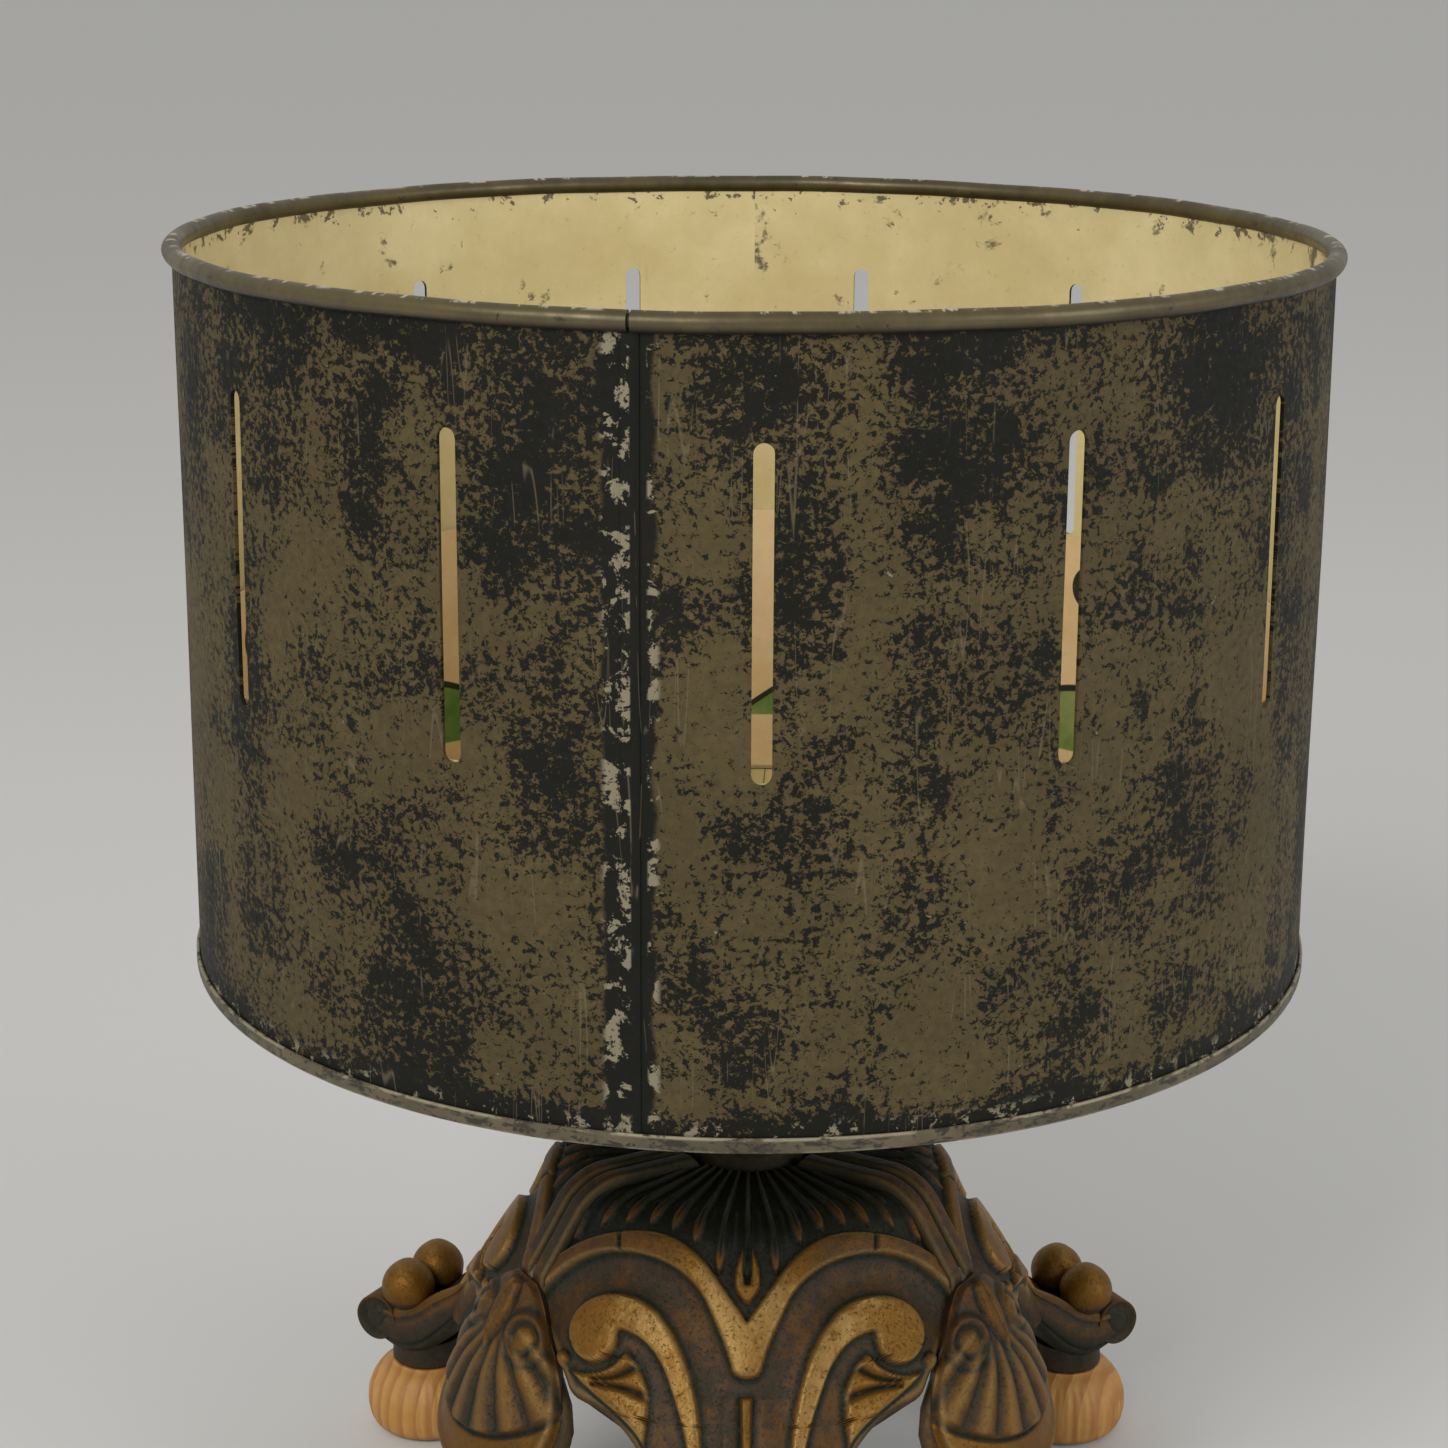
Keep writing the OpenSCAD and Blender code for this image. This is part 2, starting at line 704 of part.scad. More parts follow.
module bun_foot() {
    edge = concat([[foot_screw_r + fit, foot_recess], [screw_recess_r, foot_recess],
            [screw_recess_r, 0], [foot_r - 6, 0]],
        curve([foot_r - 4.5, 0.3], [foot_r - 0.5, 2], [foot_r, 6], [foot_r, 9.5], 5),
        curve([foot_r, 9.5], [foot_r, 15], [foot_r - 3.5, foot_h - 2.2], [pad_r + 0.6, foot_h - 0.6]),
        [[pad_r + 0.6, foot_h - 0.6], [pad_r, foot_h], [foot_screw_r + fit, foot_h]]);
    color("#d3ad78") translate([0, -foot_circle_r, 0]) rotate_extrude() polygon(edge);
}

module foot_screws() {
    head_z = foot_recess - foot_screw_head_h;
    color("#8d8a84") around() translate([0, -foot_circle_r, head_z]) difference() {
        union() {
            cylinder(h = foot_screw_head_h - fit, r = screw_recess_r - 0.3);
            cylinder(h = foot_screw_top_z - foot_recess, r = foot_screw_r);
        }
        translate([-screw_recess_r, -0.5, -1]) cube([screw_recess_r * 2, 1, 2]);
    }
}

drum_wall();
rim_wire();
drum_floor();
floor_plate();
hub_flange();
hub_rivets();
hub_bush();
picture_strip();
spindle();
thrust_washer();
top_washer();
spindle_nut();
neck_pillar();
clamp_plate();
bottom_washer();
bottom_nut();
leg();  // leg_front
rotate(sector) leg();  // leg_right
rotate(-sector) leg();  // leg_left
rotate(sector / 2) strap();  // strap_right
rotate(sector * 1.5) strap();  // strap_back
rotate(-sector / 2) strap();  // strap_left
joint_cleats();
joint_screws();
bun_foot();  // bun_foot_front
rotate(sector) bun_foot();  // bun_foot_right
rotate(-sector) bun_foot();  // bun_foot_left
foot_screws();
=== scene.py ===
"""A worn tin zoetrope on its cast base: the look of every surface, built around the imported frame."""
import math

import bpy
import numpy as np
from mathutils import Matrix, Vector


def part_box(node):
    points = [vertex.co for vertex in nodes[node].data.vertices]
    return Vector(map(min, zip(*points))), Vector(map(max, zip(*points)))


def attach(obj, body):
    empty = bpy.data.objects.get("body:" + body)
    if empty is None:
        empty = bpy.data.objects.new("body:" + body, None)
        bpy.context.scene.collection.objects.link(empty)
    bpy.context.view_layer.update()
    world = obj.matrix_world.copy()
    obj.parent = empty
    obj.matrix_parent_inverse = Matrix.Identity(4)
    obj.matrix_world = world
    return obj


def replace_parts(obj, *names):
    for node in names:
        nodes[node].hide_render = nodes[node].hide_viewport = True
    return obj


MM = 0.001
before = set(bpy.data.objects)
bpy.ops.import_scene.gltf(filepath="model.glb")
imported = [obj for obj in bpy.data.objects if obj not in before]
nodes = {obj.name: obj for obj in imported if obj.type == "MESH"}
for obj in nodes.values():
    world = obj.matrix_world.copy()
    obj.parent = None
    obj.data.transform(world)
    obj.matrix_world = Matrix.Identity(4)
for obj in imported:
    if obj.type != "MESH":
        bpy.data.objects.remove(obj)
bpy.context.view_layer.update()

# ------------------------------------------------------------------ sizes
# Some levels and radii come from the frame and the rest are given, all in millimetres.


def corner(node, which):
    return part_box(node)[which] / MM


rim_top = corner("drum_wall", 1).z
wall_foot = corner("drum_wall", 0).z
floor_low = corner("drum_floor", 0).z
fold_top = corner("drum_floor", 1).z
fold_r = (corner("drum_floor", 1).x - corner("drum_floor", 0).x) / 2
wire_r = (corner("rim_wire", 1).z - corner("rim_wire", 0).z) / 2
bead_level = (corner("rim_wire", 1).z + corner("rim_wire", 0).z) / 2
drum_r = (corner("rim_wire", 1).x - corner("rim_wire", 0).x) / 2 - wire_r
sheet_t = 1.0
bead_r = wire_r + sheet_t
strip_out_r = (corner("picture_strip", 1).x - corner("picture_strip", 0).x) / 2
strip_low = corner("picture_strip", 0).z
strip_high = corner("picture_strip", 1).z
crown_z = corner("neck_pillar", 0).z - 0.05
skirt_z = 46.0

slot_count = 13
slot_w = 4.7
slot_top = rim_top - 28.3
slot_bottom = slot_top - 77.0
slot_turn = 0.9
seam_turn = -10.2
seam_w = 4.2
seam_rise = 0.5

crown_r = 43.5
shoulder_r = 14.0
flank_angle = math.radians(57)
neck_foot_r = 17.0
casting_t = 5.0
relief_h = 2.4
ray_h = 1.4
ray_count = 15
strap_w = 13.0
strap_t = 3.4
leaf_axis_r = 50.0
leaf_t = 6.0
toe_w = 27.0
curl_at = (124.0, 37.5)
curl_r = 7.0
berry_at = (115.5, 48.4)
berry_apart = 7.6
berry_r = 7.9
foot_circle_r = -(corner("bun_foot_front", 0).y + corner("bun_foot_front", 1).y) / 2
foot_r = (corner("bun_foot_front", 1).x - corner("bun_foot_front", 0).x) / 2
foot_h = corner("bun_foot_front", 1).z
third = math.radians(120)


# ------------------------------------------------------- meshes, by hand


def deselect():
    if bpy.context.object and bpy.context.object.mode != "OBJECT":
        bpy.ops.object.mode_set(mode="OBJECT")
    bpy.ops.object.select_all(action="DESELECT")


def hold(piece):
    """Makes piece the one selected, active object."""
    deselect()
    piece.select_set(True)
    bpy.context.view_layer.objects.active = piece
    return piece


def added(name):
    """Names the primitive that was just added and puts its place into its mesh."""
    piece = bpy.context.object
    piece.name = piece.data.name = name
    bpy.ops.object.transform_apply(location=True, rotation=True, scale=True)
    return piece


def edit(piece):
    """Puts piece in hand with none of its faces selected."""
    hold(piece)
    bpy.ops.object.mode_set(mode="EDIT")
    bpy.ops.mesh.select_mode(type="FACE")
    bpy.ops.mesh.select_all(action="DESELECT")
    bpy.ops.object.mode_set(mode="OBJECT")


def pick_faces(piece, wanted):
    """Selects the faces for which wanted(centre, normal) holds, and enters edit mode."""
    edit(piece)
    for face in piece.data.polygons:
        face.select = bool(wanted(face.center / MM, face.normal))
    bpy.ops.object.mode_set(mode="EDIT")


def finish_edit():
    bpy.ops.object.mode_set(mode="OBJECT")


def points_of(piece):
    co = np.empty(len(piece.data.vertices) * 3)
    piece.data.vertices.foreach_get("co", co)
    return co.reshape(-1, 3) / MM


def put_points(piece, points):
    piece.data.vertices.foreach_set("co", (points * MM).ravel())
    piece.data.update()


def modifier(piece, kind, **settings):
    """Adds a modifier and applies it."""
    hold(piece)
    made = piece.modifiers.new(kind.title(), kind)
    for key, value in settings.items():
        setattr(made, key, value)
    bpy.ops.object.modifier_apply(modifier=made.name)


def soften(piece, width, segments):
    modifier(piece, "BEVEL", width=width * MM, segments=segments,
             limit_method="ANGLE", angle_limit=math.radians(35))


def smooth(piece, angle):
    hold(piece)
    bpy.ops.object.shade_smooth_by_angle(angle=math.radians(angle))


def outward(piece):
    """Joins points that lie in one place and turns every face outwards."""
    hold(piece)
    bpy.ops.object.mode_set(mode="EDIT")
    bpy.ops.mesh.select_all(action="SELECT")
    bpy.ops.mesh.remove_doubles(threshold=0.00001)
    bpy.ops.mesh.normals_make_consistent(inside=False)
    finish_edit()


def joined(pieces, name):
    deselect()
    for piece in pieces:
        piece.select_set(True)
    bpy.context.view_layer.objects.active = pieces[0]
    bpy.ops.object.join()
    pieces[0].name = pieces[0].data.name = name
    return pieces[0]


def turned_copy(piece, name, turn):
    """A copy with its own mesh, turned about the spindle."""
    copy = piece.copy()
    copy.data = piece.data.copy()
    copy.name = copy.data.name = name
    bpy.context.scene.collection.objects.link(copy)
    points = points_of(copy)
    c, s = math.cos(turn), math.sin(turn)
    x, y = points[:, 0].copy(), points[:, 1].copy()
    points[:, 0], points[:, 1] = x * c - y * s, x * s + y * c
    put_points(copy, points)
    return copy


def from_points(name, points, faces):
    """A mesh from points in millimetres, for the shapes that no operator draws."""
    mesh = bpy.data.meshes.new(name)
    mesh.from_pydata((np.asarray(points) * MM).tolist(), [], faces)
    piece = bpy.data.objects.new(name, mesh)
    bpy.context.scene.collection.objects.link(piece)
    return piece


def spun(name, profile, steps, centre=(0, 0)):
    """A closed (radius, height) profile spun about an upright axis."""
    loop = [(centre[0] + r, centre[1], z) for r, z in profile]
    piece = from_points(name, loop, [])
    hold(piece)
    piece.data.edges.add(len(loop))
    for i, edge in enumerate(piece.data.edges):
        edge.vertices = (i, (i + 1) % len(loop))
    bpy.ops.object.mode_set(mode="EDIT")
    bpy.ops.mesh.select_all(action="SELECT")
    bpy.ops.mesh.spin(steps=steps, angle=2 * math.pi, axis=(0, 0, 1),
                      center=(centre[0] * MM, centre[1] * MM, 0))
    finish_edit()
    outward(piece)
    return piece


def arc(centre, radius, start, end, steps):
    return [(centre[0] + radius * math.cos(math.radians(a)),
             centre[1] + radius * math.sin(math.radians(a)))
            for a in np.linspace(start, end, steps + 1)]


def attribute(piece, name, values):
    layer = piece.data.attributes.new(name, "FLOAT", "POINT")
    layer.data.foreach_set("value", np.asarray(values, np.float32))


# ---------------------------------------------------------------- shaders


def fill(tree, node, inputs):
    """Sets each input of a node to its value, or links it where the value is a socket."""
    for key, value in inputs.items():
        if isinstance(value, bpy.types.NodeSocket):
            tree.links.new(value, node.inputs[key])
        else:
            node.inputs[key].default_value = value
    return node


def put(tree, kind, inputs, **settings):
    """A node with its settings and its inputs."""
    made = tree.nodes.new(kind)
    for key, value in settings.items():
        setattr(made, key, value)
    return fill(tree, made, inputs)


def calc(tree, operation, a, b=0.0):
    return put(tree, "ShaderNodeMath", {0: a, 1: b}, operation=operation).outputs[0]


def plus(tree, a, b):
    return calc(tree, "ADD", a, b)


def minus(tree, a, b):
    return calc(tree, "SUBTRACT", a, b)


def times(tree, a, b):
    return calc(tree, "MULTIPLY", a, b)


def most(tree, a, b):
    return calc(tree, "MAXIMUM", a, b)


def fade(tree, value, low, high, to_low=0.0, to_high=1.0):
    """value carried smoothly from low..high to to_low..to_high, and clamped."""
    return put(tree, "ShaderNodeMapRange",
               {"Value": value, "From Min": low, "From Max": high, "To Min": to_low,
                "To Max": to_high}, interpolation_type="SMOOTHSTEP").outputs[0]


def fade_mm(tree, value, low, high, to_low=0.0, to_high=1.0):
    """The same for a value in metres, between two marks in millimetres."""
    return fade(tree, value, low * MM, high * MM, to_low, to_high)


def stretched(tree, vector, scale, rotation=(0.0, 0.0, 0.0)):
    """The vector turned and scaled; an axis scaled down draws a pattern out along it."""
    return put(tree, "ShaderNodeMapping",
               {"Vector": vector, "Rotation": rotation, "Scale": scale}).outputs[0]


def split(tree, vector):
    return put(tree, "ShaderNodeSeparateXYZ", {0: vector}).outputs


def level_with(tree, x, y):
    """A flat vector from two values."""
    return put(tree, "ShaderNodeCombineXYZ", {0: x, 1: y, 2: 0.0}).outputs[0]


def length(tree, vector):
    return put(tree, "ShaderNodeVectorMath", {0: vector}, operation="LENGTH").outputs["Value"]


def blend(tree, mask, a, b):
    """Colour a where the mask is 0 and colour b where it is 1."""
    return put(tree, "ShaderNodeMix", {0: mask, 6: a, 7: b}, data_type="RGBA").outputs[2]


def coats(tree, colour, *layers):
    """Lays one (mask, share of full strength, colour) after another over a colour."""
    for mask, share, coat in layers:
        colour = blend(tree, times(tree, mask, share) if share < 1 else mask, colour, coat)
    return colour


def noise(tree, vector, scale, detail, rough, distortion=0.0):
    return put(tree, "ShaderNodeTexNoise",
               {"Vector": vector, "Scale": scale, "Detail": detail, "Roughness": rough,
                "Distortion": distortion}).outputs[0]


def rgb(r, g, b):
    """An sRGB colour in 0..255 as a linear colour."""
    def line(v):
        v /= 255
        return v / 12.92 if v <= 0.04045 else ((v + 0.055) / 1.055) ** 2.4
    return (line(r), line(g), line(b), 1.0)


def effect(name, inputs, outputs):
    """An empty node group with its sockets and its two end nodes."""
    group = bpy.data.node_groups.new(name, "ShaderNodeTree")
    kinds = {"v": "NodeSocketVector", "f": "NodeSocketFloat", "c": "NodeSocketColor"}
    for label, kind in inputs:
        group.interface.new_socket(label, in_out="INPUT", socket_type=kinds[kind])
    for label, kind in outputs:
        group.interface.new_socket(label, in_out="OUTPUT", socket_type=kinds[kind])
    return group, group.nodes.new("NodeGroupInput"), group.nodes.new("NodeGroupOutput")


def make_flecks():
    """Ragged islands that cover a share of the surface."""
    group, start, end = effect("ragged flecks",
                               [("Vector", "v"), ("Scale", "f"), ("Cover", "f"), ("Edge", "f")],
                               [("Mask", "f")])
    o = start.outputs
    coarse = noise(group, o["Vector"], o["Scale"], 8.0, 0.68, 0.35)
    fine = noise(group, o["Vector"], times(group, o["Scale"], 3.7), 5.0, 0.7)
    both = plus(group, times(group, coarse, 0.78), times(group, fine, 0.22))
    level = minus(group, 0.66, times(group, o["Cover"], 0.32))
    top = plus(group, level, o["Edge"])
    group.links.new(fade(group, both, level, top), end.inputs["Mask"])
    return group


def make_scratches():
    """Thin straight scratches along the vector's second axis."""
    group, start, end = effect("scratches",
                               [("Vector", "v"), ("Turn", "f"), ("Width", "f"), ("Cover", "f")],
                               [("Mask", "f")])
    o = start.outputs
    spin = put(group, "ShaderNodeCombineXYZ", {2: o["Turn"]}).outputs[0]
    turned = stretched(group, o["Vector"], (1.0, 0.06, 1.0), spin)
    lines = noise(group, turned, 110.0, 1.0, 0.4, 0.2)
    away = calc(group, "ABSOLUTE", minus(group, lines, 0.5))
    thin = fade(group, away, 0.0, o["Width"], 1.0, 0.0)
    where = noise(group, o["Vector"], 46.0, 3.0, 0.6)
    level = minus(group, 0.75, times(group, o["Cover"], 0.4))
    patch = fade(group, where, level, plus(group, level, 0.06))
    group.links.new(times(group, thin, patch), end.inputs["Mask"])
    return group


def make_mottle():
    """Soft uneven tone, from 0 to 1, at two scales."""
    group, start, end = effect("mottle", [("Vector", "v"), ("Scale", "f")], [("Value", "f")])
    o = start.outputs
    large = noise(group, o["Vector"], o["Scale"], 5.0, 0.6)
    small = noise(group, o["Vector"], times(group, o["Scale"], 7.0), 3.0, 0.6)
    both = plus(group, times(group, large, 0.65), times(group, small, 0.35))
    group.links.new(fade(group, both, 0.32, 0.68), end.inputs["Value"])
    return group


FLECKS = make_flecks()
SCRATCHES = make_scratches()
MOTTLE = make_mottle()


def shared(tree, group, inputs):
    """A shared effect placed in a material, with its inputs; gives its one output."""
    made = tree.nodes.new("ShaderNodeGroup")
    made.node_tree = group
    return fill(tree, made, inputs).outputs[0]


def flecks(tree, vector, scale, cover, edge):
    return shared(tree, FLECKS, {"Vector": vector, "Scale": scale, "Cover": cover, "Edge": edge})


def mottle(tree, vector, scale):
    return shared(tree, MOTTLE, {"Vector": vector, "Scale": scale})


def scratches(tree, vector, turn, width, cover):
    return shared(tree, SCRATCHES, {"Vector": vector, "Turn": turn, "Width": width, "Cover": cover})


def material(name):
    """A new material: its tree, its shader and the object coordinates."""
    made = bpy.data.materials.new(name)
    made.use_nodes = True
    tree = made.node_tree
    shader = tree.nodes["Principled BSDF"]
    where = tree.nodes.new("ShaderNodeTexCoord").outputs["Object"]
    return made, tree, shader, where


def bump(tree, shader, height, distance):
    """Relief from a height of 0 to 1, over a distance in millimetres."""
    made = put(tree, "ShaderNodeBump",
               {"Height": height, "Distance": distance * MM, "Strength": 1.0})
    tree.links.new(made.outputs[0], shader.inputs["Normal"])


def around_drum(tree, where):
    """The drum's surface laid flat, in metres: as a vector, the way round it and the height."""
    parts = split(tree, where)
    angle = calc(tree, "ARCTAN2", parts[0], times(tree, parts[1], -1.0))
    run = times(tree, angle, drum_r * MM)
    return level_with(tree, run, parts[2]), run, parts[2]


def japanned_tin():
    """Black japan worn through to a brown tin patina, with scratches and a kept band at the seam."""
    made, tree, shader, where = material("worn black japan")
    flat, run, level = around_drum(tree, where)

    # how much black is left: in zones, more under the rim and most above the fold
    upright = stretched(tree, flat, (1.0, 0.3, 1.0))
    zone = plus(tree, times(tree, noise(tree, flat, 30.0, 5.0, 0.68), 0.6),
                times(tree, noise(tree, upright, 30.0, 3.0, 0.6), 0.4))
    upper = fade_mm(tree, level, rim_top - 80, rim_top - 8)
    lower = fade_mm(tree, level, floor_low + 13, floor_low + 4)
    cover = plus(tree, fade(tree, zone, 0.37, 0.62, 0.2, 0.66), times(tree, upper, 0.14))
    cover = plus(tree, cover, times(tree, lower, 0.4))

    # the seam keeps a ragged black band
    beside = minus(tree, run, math.radians(seam_turn) * drum_r * MM)
    from_seam = calc(tree, "ABSOLUTE", plus(tree, beside, 0.6 * MM))
    ragged = times(tree, noise(tree, flat, 90.0, 4.0, 0.6), 5.0 * MM)
    kept = fade_mm(tree, plus(tree, from_seam, ragged), 7.6, 9.0, 1.0, 0.0)

    pinholes = flecks(tree, flat, 820.0, 0.34, 0.03)
    patches = times(tree, flecks(tree, flat, 105.0, minus(tree, cover, 0.17), 0.025),
                    minus(tree, 1.0, pinholes))
    pepper = times(tree, flecks(tree, flat, 900.0, 0.2, 0.03), 0.7)
    black = most(tree, most(tree, flecks(tree, flat, 520.0, cover, 0.022), patches),
                 most(tree, pepper, kept))

    tone, fine = mottle(tree, flat, 22.0), mottle(tree, flat, 420.0)
    patina = coats(tree, blend(tree, tone, rgb(76, 65, 38), rgb(92, 79, 48)),
                   (fine, 0.6, rgb(62, 53, 33)))
    paint = blend(tree, tone, rgb(6, 7, 2), rgb(16, 15, 7))
    marks = most(tree, scratches(tree, flat, 1.05, 0.007, 0.55),
                 scratches(tree, flat, -0.75, 0.006, 0.6))

    # bare tin flakes at both sides of the seam, along the fold and in rare sparks
    left_side = times(tree, fade_mm(tree, beside, -7.5, -5.5), fade_mm(tree, beside, 0.2, -0.3))
    right_side = times(tree, fade_mm(tree, beside, 3.4, 4.2), fade_mm(tree, beside, 7.0, 5.6))
    flakes = times(tree, most(tree, left_side, right_side), flecks(tree, flat, 170.0, 0.4, 0.02))
    hem = times(tree, fade_mm(tree, level, floor_low + 9, floor_low + 5),
                flecks(tree, flat, 190.0, 0.34, 0.02))
    bare = most(tree, most(tree, flakes, hem), flecks(tree, flat, 330.0, 0.02, 0.02))

    colour = coats(tree, blend(tree, black, patina, paint),
                   (marks, 0.5, rgb(112, 101, 78)), (bare, 1, rgb(142, 134, 112)))
    fill(tree, shader, {"Base Color": colour, "Metallic": times(tree, bare, 0.5),
                        "Roughness": fade(tree, fine, 0.0, 1.0, 0.56, 0.72),
                        "Specular IOR Level": 0.24})
    bump(tree, shader, minus(tree, black, times(tree, marks, 0.6)), 0.06)
    return made


def cream_paint():
    """The cream inside of the drum, foxed and chipped, darkest by the rim."""
    made, tree, shader, where = material("stained cream paint")
    flat, _, level = around_drum(tree, where)
    streaky = stretched(tree, flat, (1.0, 0.16, 1.0))
    near_rim = fade_mm(tree, level, rim_top - 13, rim_top - 5)
    chips = flecks(tree, flat, 190.0, plus(tree, 0.04, times(tree, near_rim, 0.32)), 0.02)
    dark = most(tree, chips, flecks(tree, flat, 52.0, 0.24, 0.05))
    clean = blend(tree, mottle(tree, flat, 16.0), rgb(214, 199, 146), rgb(234, 220, 172))
    colour = coats(tree, clean,
                   (mottle(tree, flat, 7.0), 0.5, rgb(184, 164, 108)),
                   (flecks(tree, streaky, 75.0, 0.2, 0.16), 0.35, rgb(156, 139, 94)),
                   (flecks(tree, flat, 300.0, 0.24, 0.09), 0.4, rgb(140, 122, 80)),
                   (dark, 0.85, rgb(62, 52, 36)))
    fill(tree, shader, {"Base Color": colour, "Roughness": 0.55})
    bump(tree, shader, minus(tree, 1.0, dark), 0.08)
    return made


def olive_bead():
    """Rubbed olive-brown paint on the rolled rim, painted black on its lower side as painted shade,
    and chipped on top.
    """
    made, tree, shader, where = material("rubbed olive bead")
    flat, _, level = around_drum(tree, where)
    tone = mottle(tree, flat, 30.0)
    # painted shade: the lower side of the bead is darkened to near black, where shade falls under the
    # roll
    painted_shade_below = fade_mm(tree, level, bead_level - bead_r * 0.1, bead_level - bead_r * 0.8)
    crest = times(tree, fade_mm(tree, level, bead_level + bead_r * 0.8, rim_top),
                  flecks(tree, flat, 130.0, 0.42, 0.03))
    colour = coats(tree, blend(tree, tone, rgb(70, 62, 38), rgb(98, 87, 57)),
                   (flecks(tree, flat, 170.0, 0.2, 0.03), 0.75, rgb(38, 34, 25)),
                   (painted_shade_below, 0.8, rgb(24, 21, 16)), (crest, 1, rgb(190, 184, 160)))
    fill(tree, shader, {"Base Color": colour, "Metallic": 0.35,
                        "Roughness": fade(tree, tone, 0.0, 1.0, 0.46, 0.34)})
    bump(tree, shader, tone, 0.05)
    return made


def worn_floor_tin():
    """The floor pan: black japan left in the fold, rubbed to bright tin along its edge."""
    made, tree, shader, where = material("rubbed floor tin")
    flat, _, level = around_drum(tree, where)
    drawn = stretched(tree, flat, (0.35, 1.0, 1.0))
    black = most(tree, flecks(tree, where, 300.0, 0.34, 0.04), flecks(tree, drawn, 420.0, 0.46, 0.06))
    edge_up = fade_mm(tree, level, fold_top - 0.9, fold_top - 0.1)
    edge_low = times(tree, fade_mm(tree, level, floor_low + 1.1, floor_low + 0.3), 0.6)
    rub = times(tree, most(tree, edge_up, edge_low), flecks(tree, drawn, 150.0, 0.6, 0.04))
    colour = coats(tree, blend(tree, mottle(tree, where, 26.0), rgb(70, 62, 44), rgb(98, 88, 64)),
                   (black, 0.85, rgb(28, 26, 19)), (rub, 0.8, rgb(176, 168, 142)))
    fill(tree, shader, {"Base Color": colour, "Metallic": times(tree, rub, 0.6), "Roughness": 0.5})
    bump(tree, shader, black, 0.06)
    return made


def printed_paper():
    """A band printed on its inner face with twelve frames: a ball bounces over a green mound."""
    made, tree, shader, where = material("printed paper band")
    flat, run, level = around_drum(tree, where)
    frames, hops = 12, 4
    pitch = 2 * math.pi * drum_r * MM / frames
    order = calc(tree, "DIVIDE", plus(tree, run, math.pi * drum_r * MM), pitch)
    across = times(tree, minus(tree, calc(tree, "FRACT", order), 0.5), pitch)
    up = minus(tree, level, strip_low * MM)
    parts = split(tree, where)
    from_axis = length(tree, level_with(tree, parts[0], parts[1]))
    printed = fade_mm(tree, from_axis, strip_out_r - 0.35, strip_out_r - 0.55)

    swell = calc(tree, "COSINE", times(tree, across, math.pi / pitch))
    below = minus(tree, plus(tree, times(tree, swell, 17 * MM), 23 * MM), up)
    mound = times(tree, fade_mm(tree, below, -0.4, 0.2), fade_mm(tree, up, 18.0, 18.6))
    mound = times(tree, mound, printed)
    outline = times(tree, fade_mm(tree, below, 2.2, 1.7), mound)

    turn = times(tree, calc(tree, "FLOOR", order), math.pi / hops)
    hop = calc(tree, "ABSOLUTE", calc(tree, "SINE", turn))
    ball_level = plus(tree, times(tree, hop, 24 * MM), 47 * MM)
    away = length(tree, level_with(tree, across, minus(tree, up, ball_level)))
    disc = times(tree, fade_mm(tree, away, 7.2, 6.8), printed)
    ring = times(tree, disc, fade_mm(tree, away, 3.4, 3.9))

    tone = mottle(tree, flat, 20.0)
    green = times(tree, mound, minus(tree, 1.0, times(tree, tone, 0.3)))
    colour = coats(tree, blend(tree, tone, rgb(222, 190, 140), rgb(236, 212, 170)),
                   (green, 1, rgb(74, 128, 46)), (outline, 1, rgb(30, 32, 20)),
                   (ring, 1, rgb(38, 34, 22)),
                   (flecks(tree, flat, 300.0, 0.2, 0.05), 0.4, rgb(200, 168, 116)),
                   (fade_mm(tree, up, 1.6, 0.6), 0.6, rgb(120, 92, 56)))
    fill(tree, shader, {"Base Color": colour, "Roughness": 0.75})
    bump(tree, shader, noise(tree, flat, 900.0, 3.0, 0.6), 0.03)
    return made


def bronzed_casting():
    """Bronze paint on cast iron: tone runs from black hollows by brown coves to gold faces."""
    made, tree, shader, where = material("bronzed casting")
    # The tone attribute also carries painted shading on the toe, the berries and the strap's crown,
    # and the rubbed attribute a painted highlight on the toe's rims.
    tone, rubbed = (put(tree, "ShaderNodeAttribute", {}, attribute_name=name).outputs["Fac"]
                    for name in ("tone", "rubbed"))
    uneven = mottle(tree, where, 42.0)
    stain = flecks(tree, where, 70.0, 0.34, 0.14)
    tone = plus(tree, tone, fade(tree, uneven, 0.0, 1.0, -0.12, 0.08))
    tone = minus(tree, tone, times(tree, stain, 0.13))
    ramp = put(tree, "ShaderNodeValToRGB", {0: tone})
    stops = [(0.0, rgb(24, 27, 18)), (0.16, rgb(38, 39, 25)), (0.36, rgb(62, 47, 31)),
             (0.5, rgb(84, 60, 26)), (0.68, rgb(108, 77, 24)), (0.84, rgb(122, 88, 28)),
             (1.0, rgb(160, 130, 76))]
    while len(ramp.color_ramp.elements) < len(stops):
        ramp.color_ramp.elements.new(0.5)
    for stop, (place, colour) in zip(ramp.color_ramp.elements, stops):
        stop.position, stop.color = place, colour
    speck = flecks(tree, where, 1000.0, 0.36, 0.08)
    gilt_speck = times(tree, speck, fade(tree, tone, 0.55, 0.9))
    rust = times(tree, mottle(tree, where, 17.0), fade(tree, tone, 0.34, 0.52))
    colour = coats(tree, ramp.outputs[0], (rust, 0.42, rgb(122, 74, 22)),
                   (gilt_speck, 0.7, rgb(58, 48, 26)), (rubbed, 0.75, rgb(176, 146, 90)))
    fill(tree, shader, {"Base Color": colour, "Metallic": fade(tree, tone, 0.2, 0.8, 0.12, 0.56),
                        "Roughness": fade(tree, tone, 0.0, 1.0, 0.6, 0.46),
                        "Specular IOR Level": 0.28})
    grain = plus(tree, noise(tree, where, 620.0, 5.0, 0.66), times(tree, speck, -0.35))
    bump(tree, shader, plus(tree, grain, times(tree, uneven, 0.9)), 0.22)
    return made


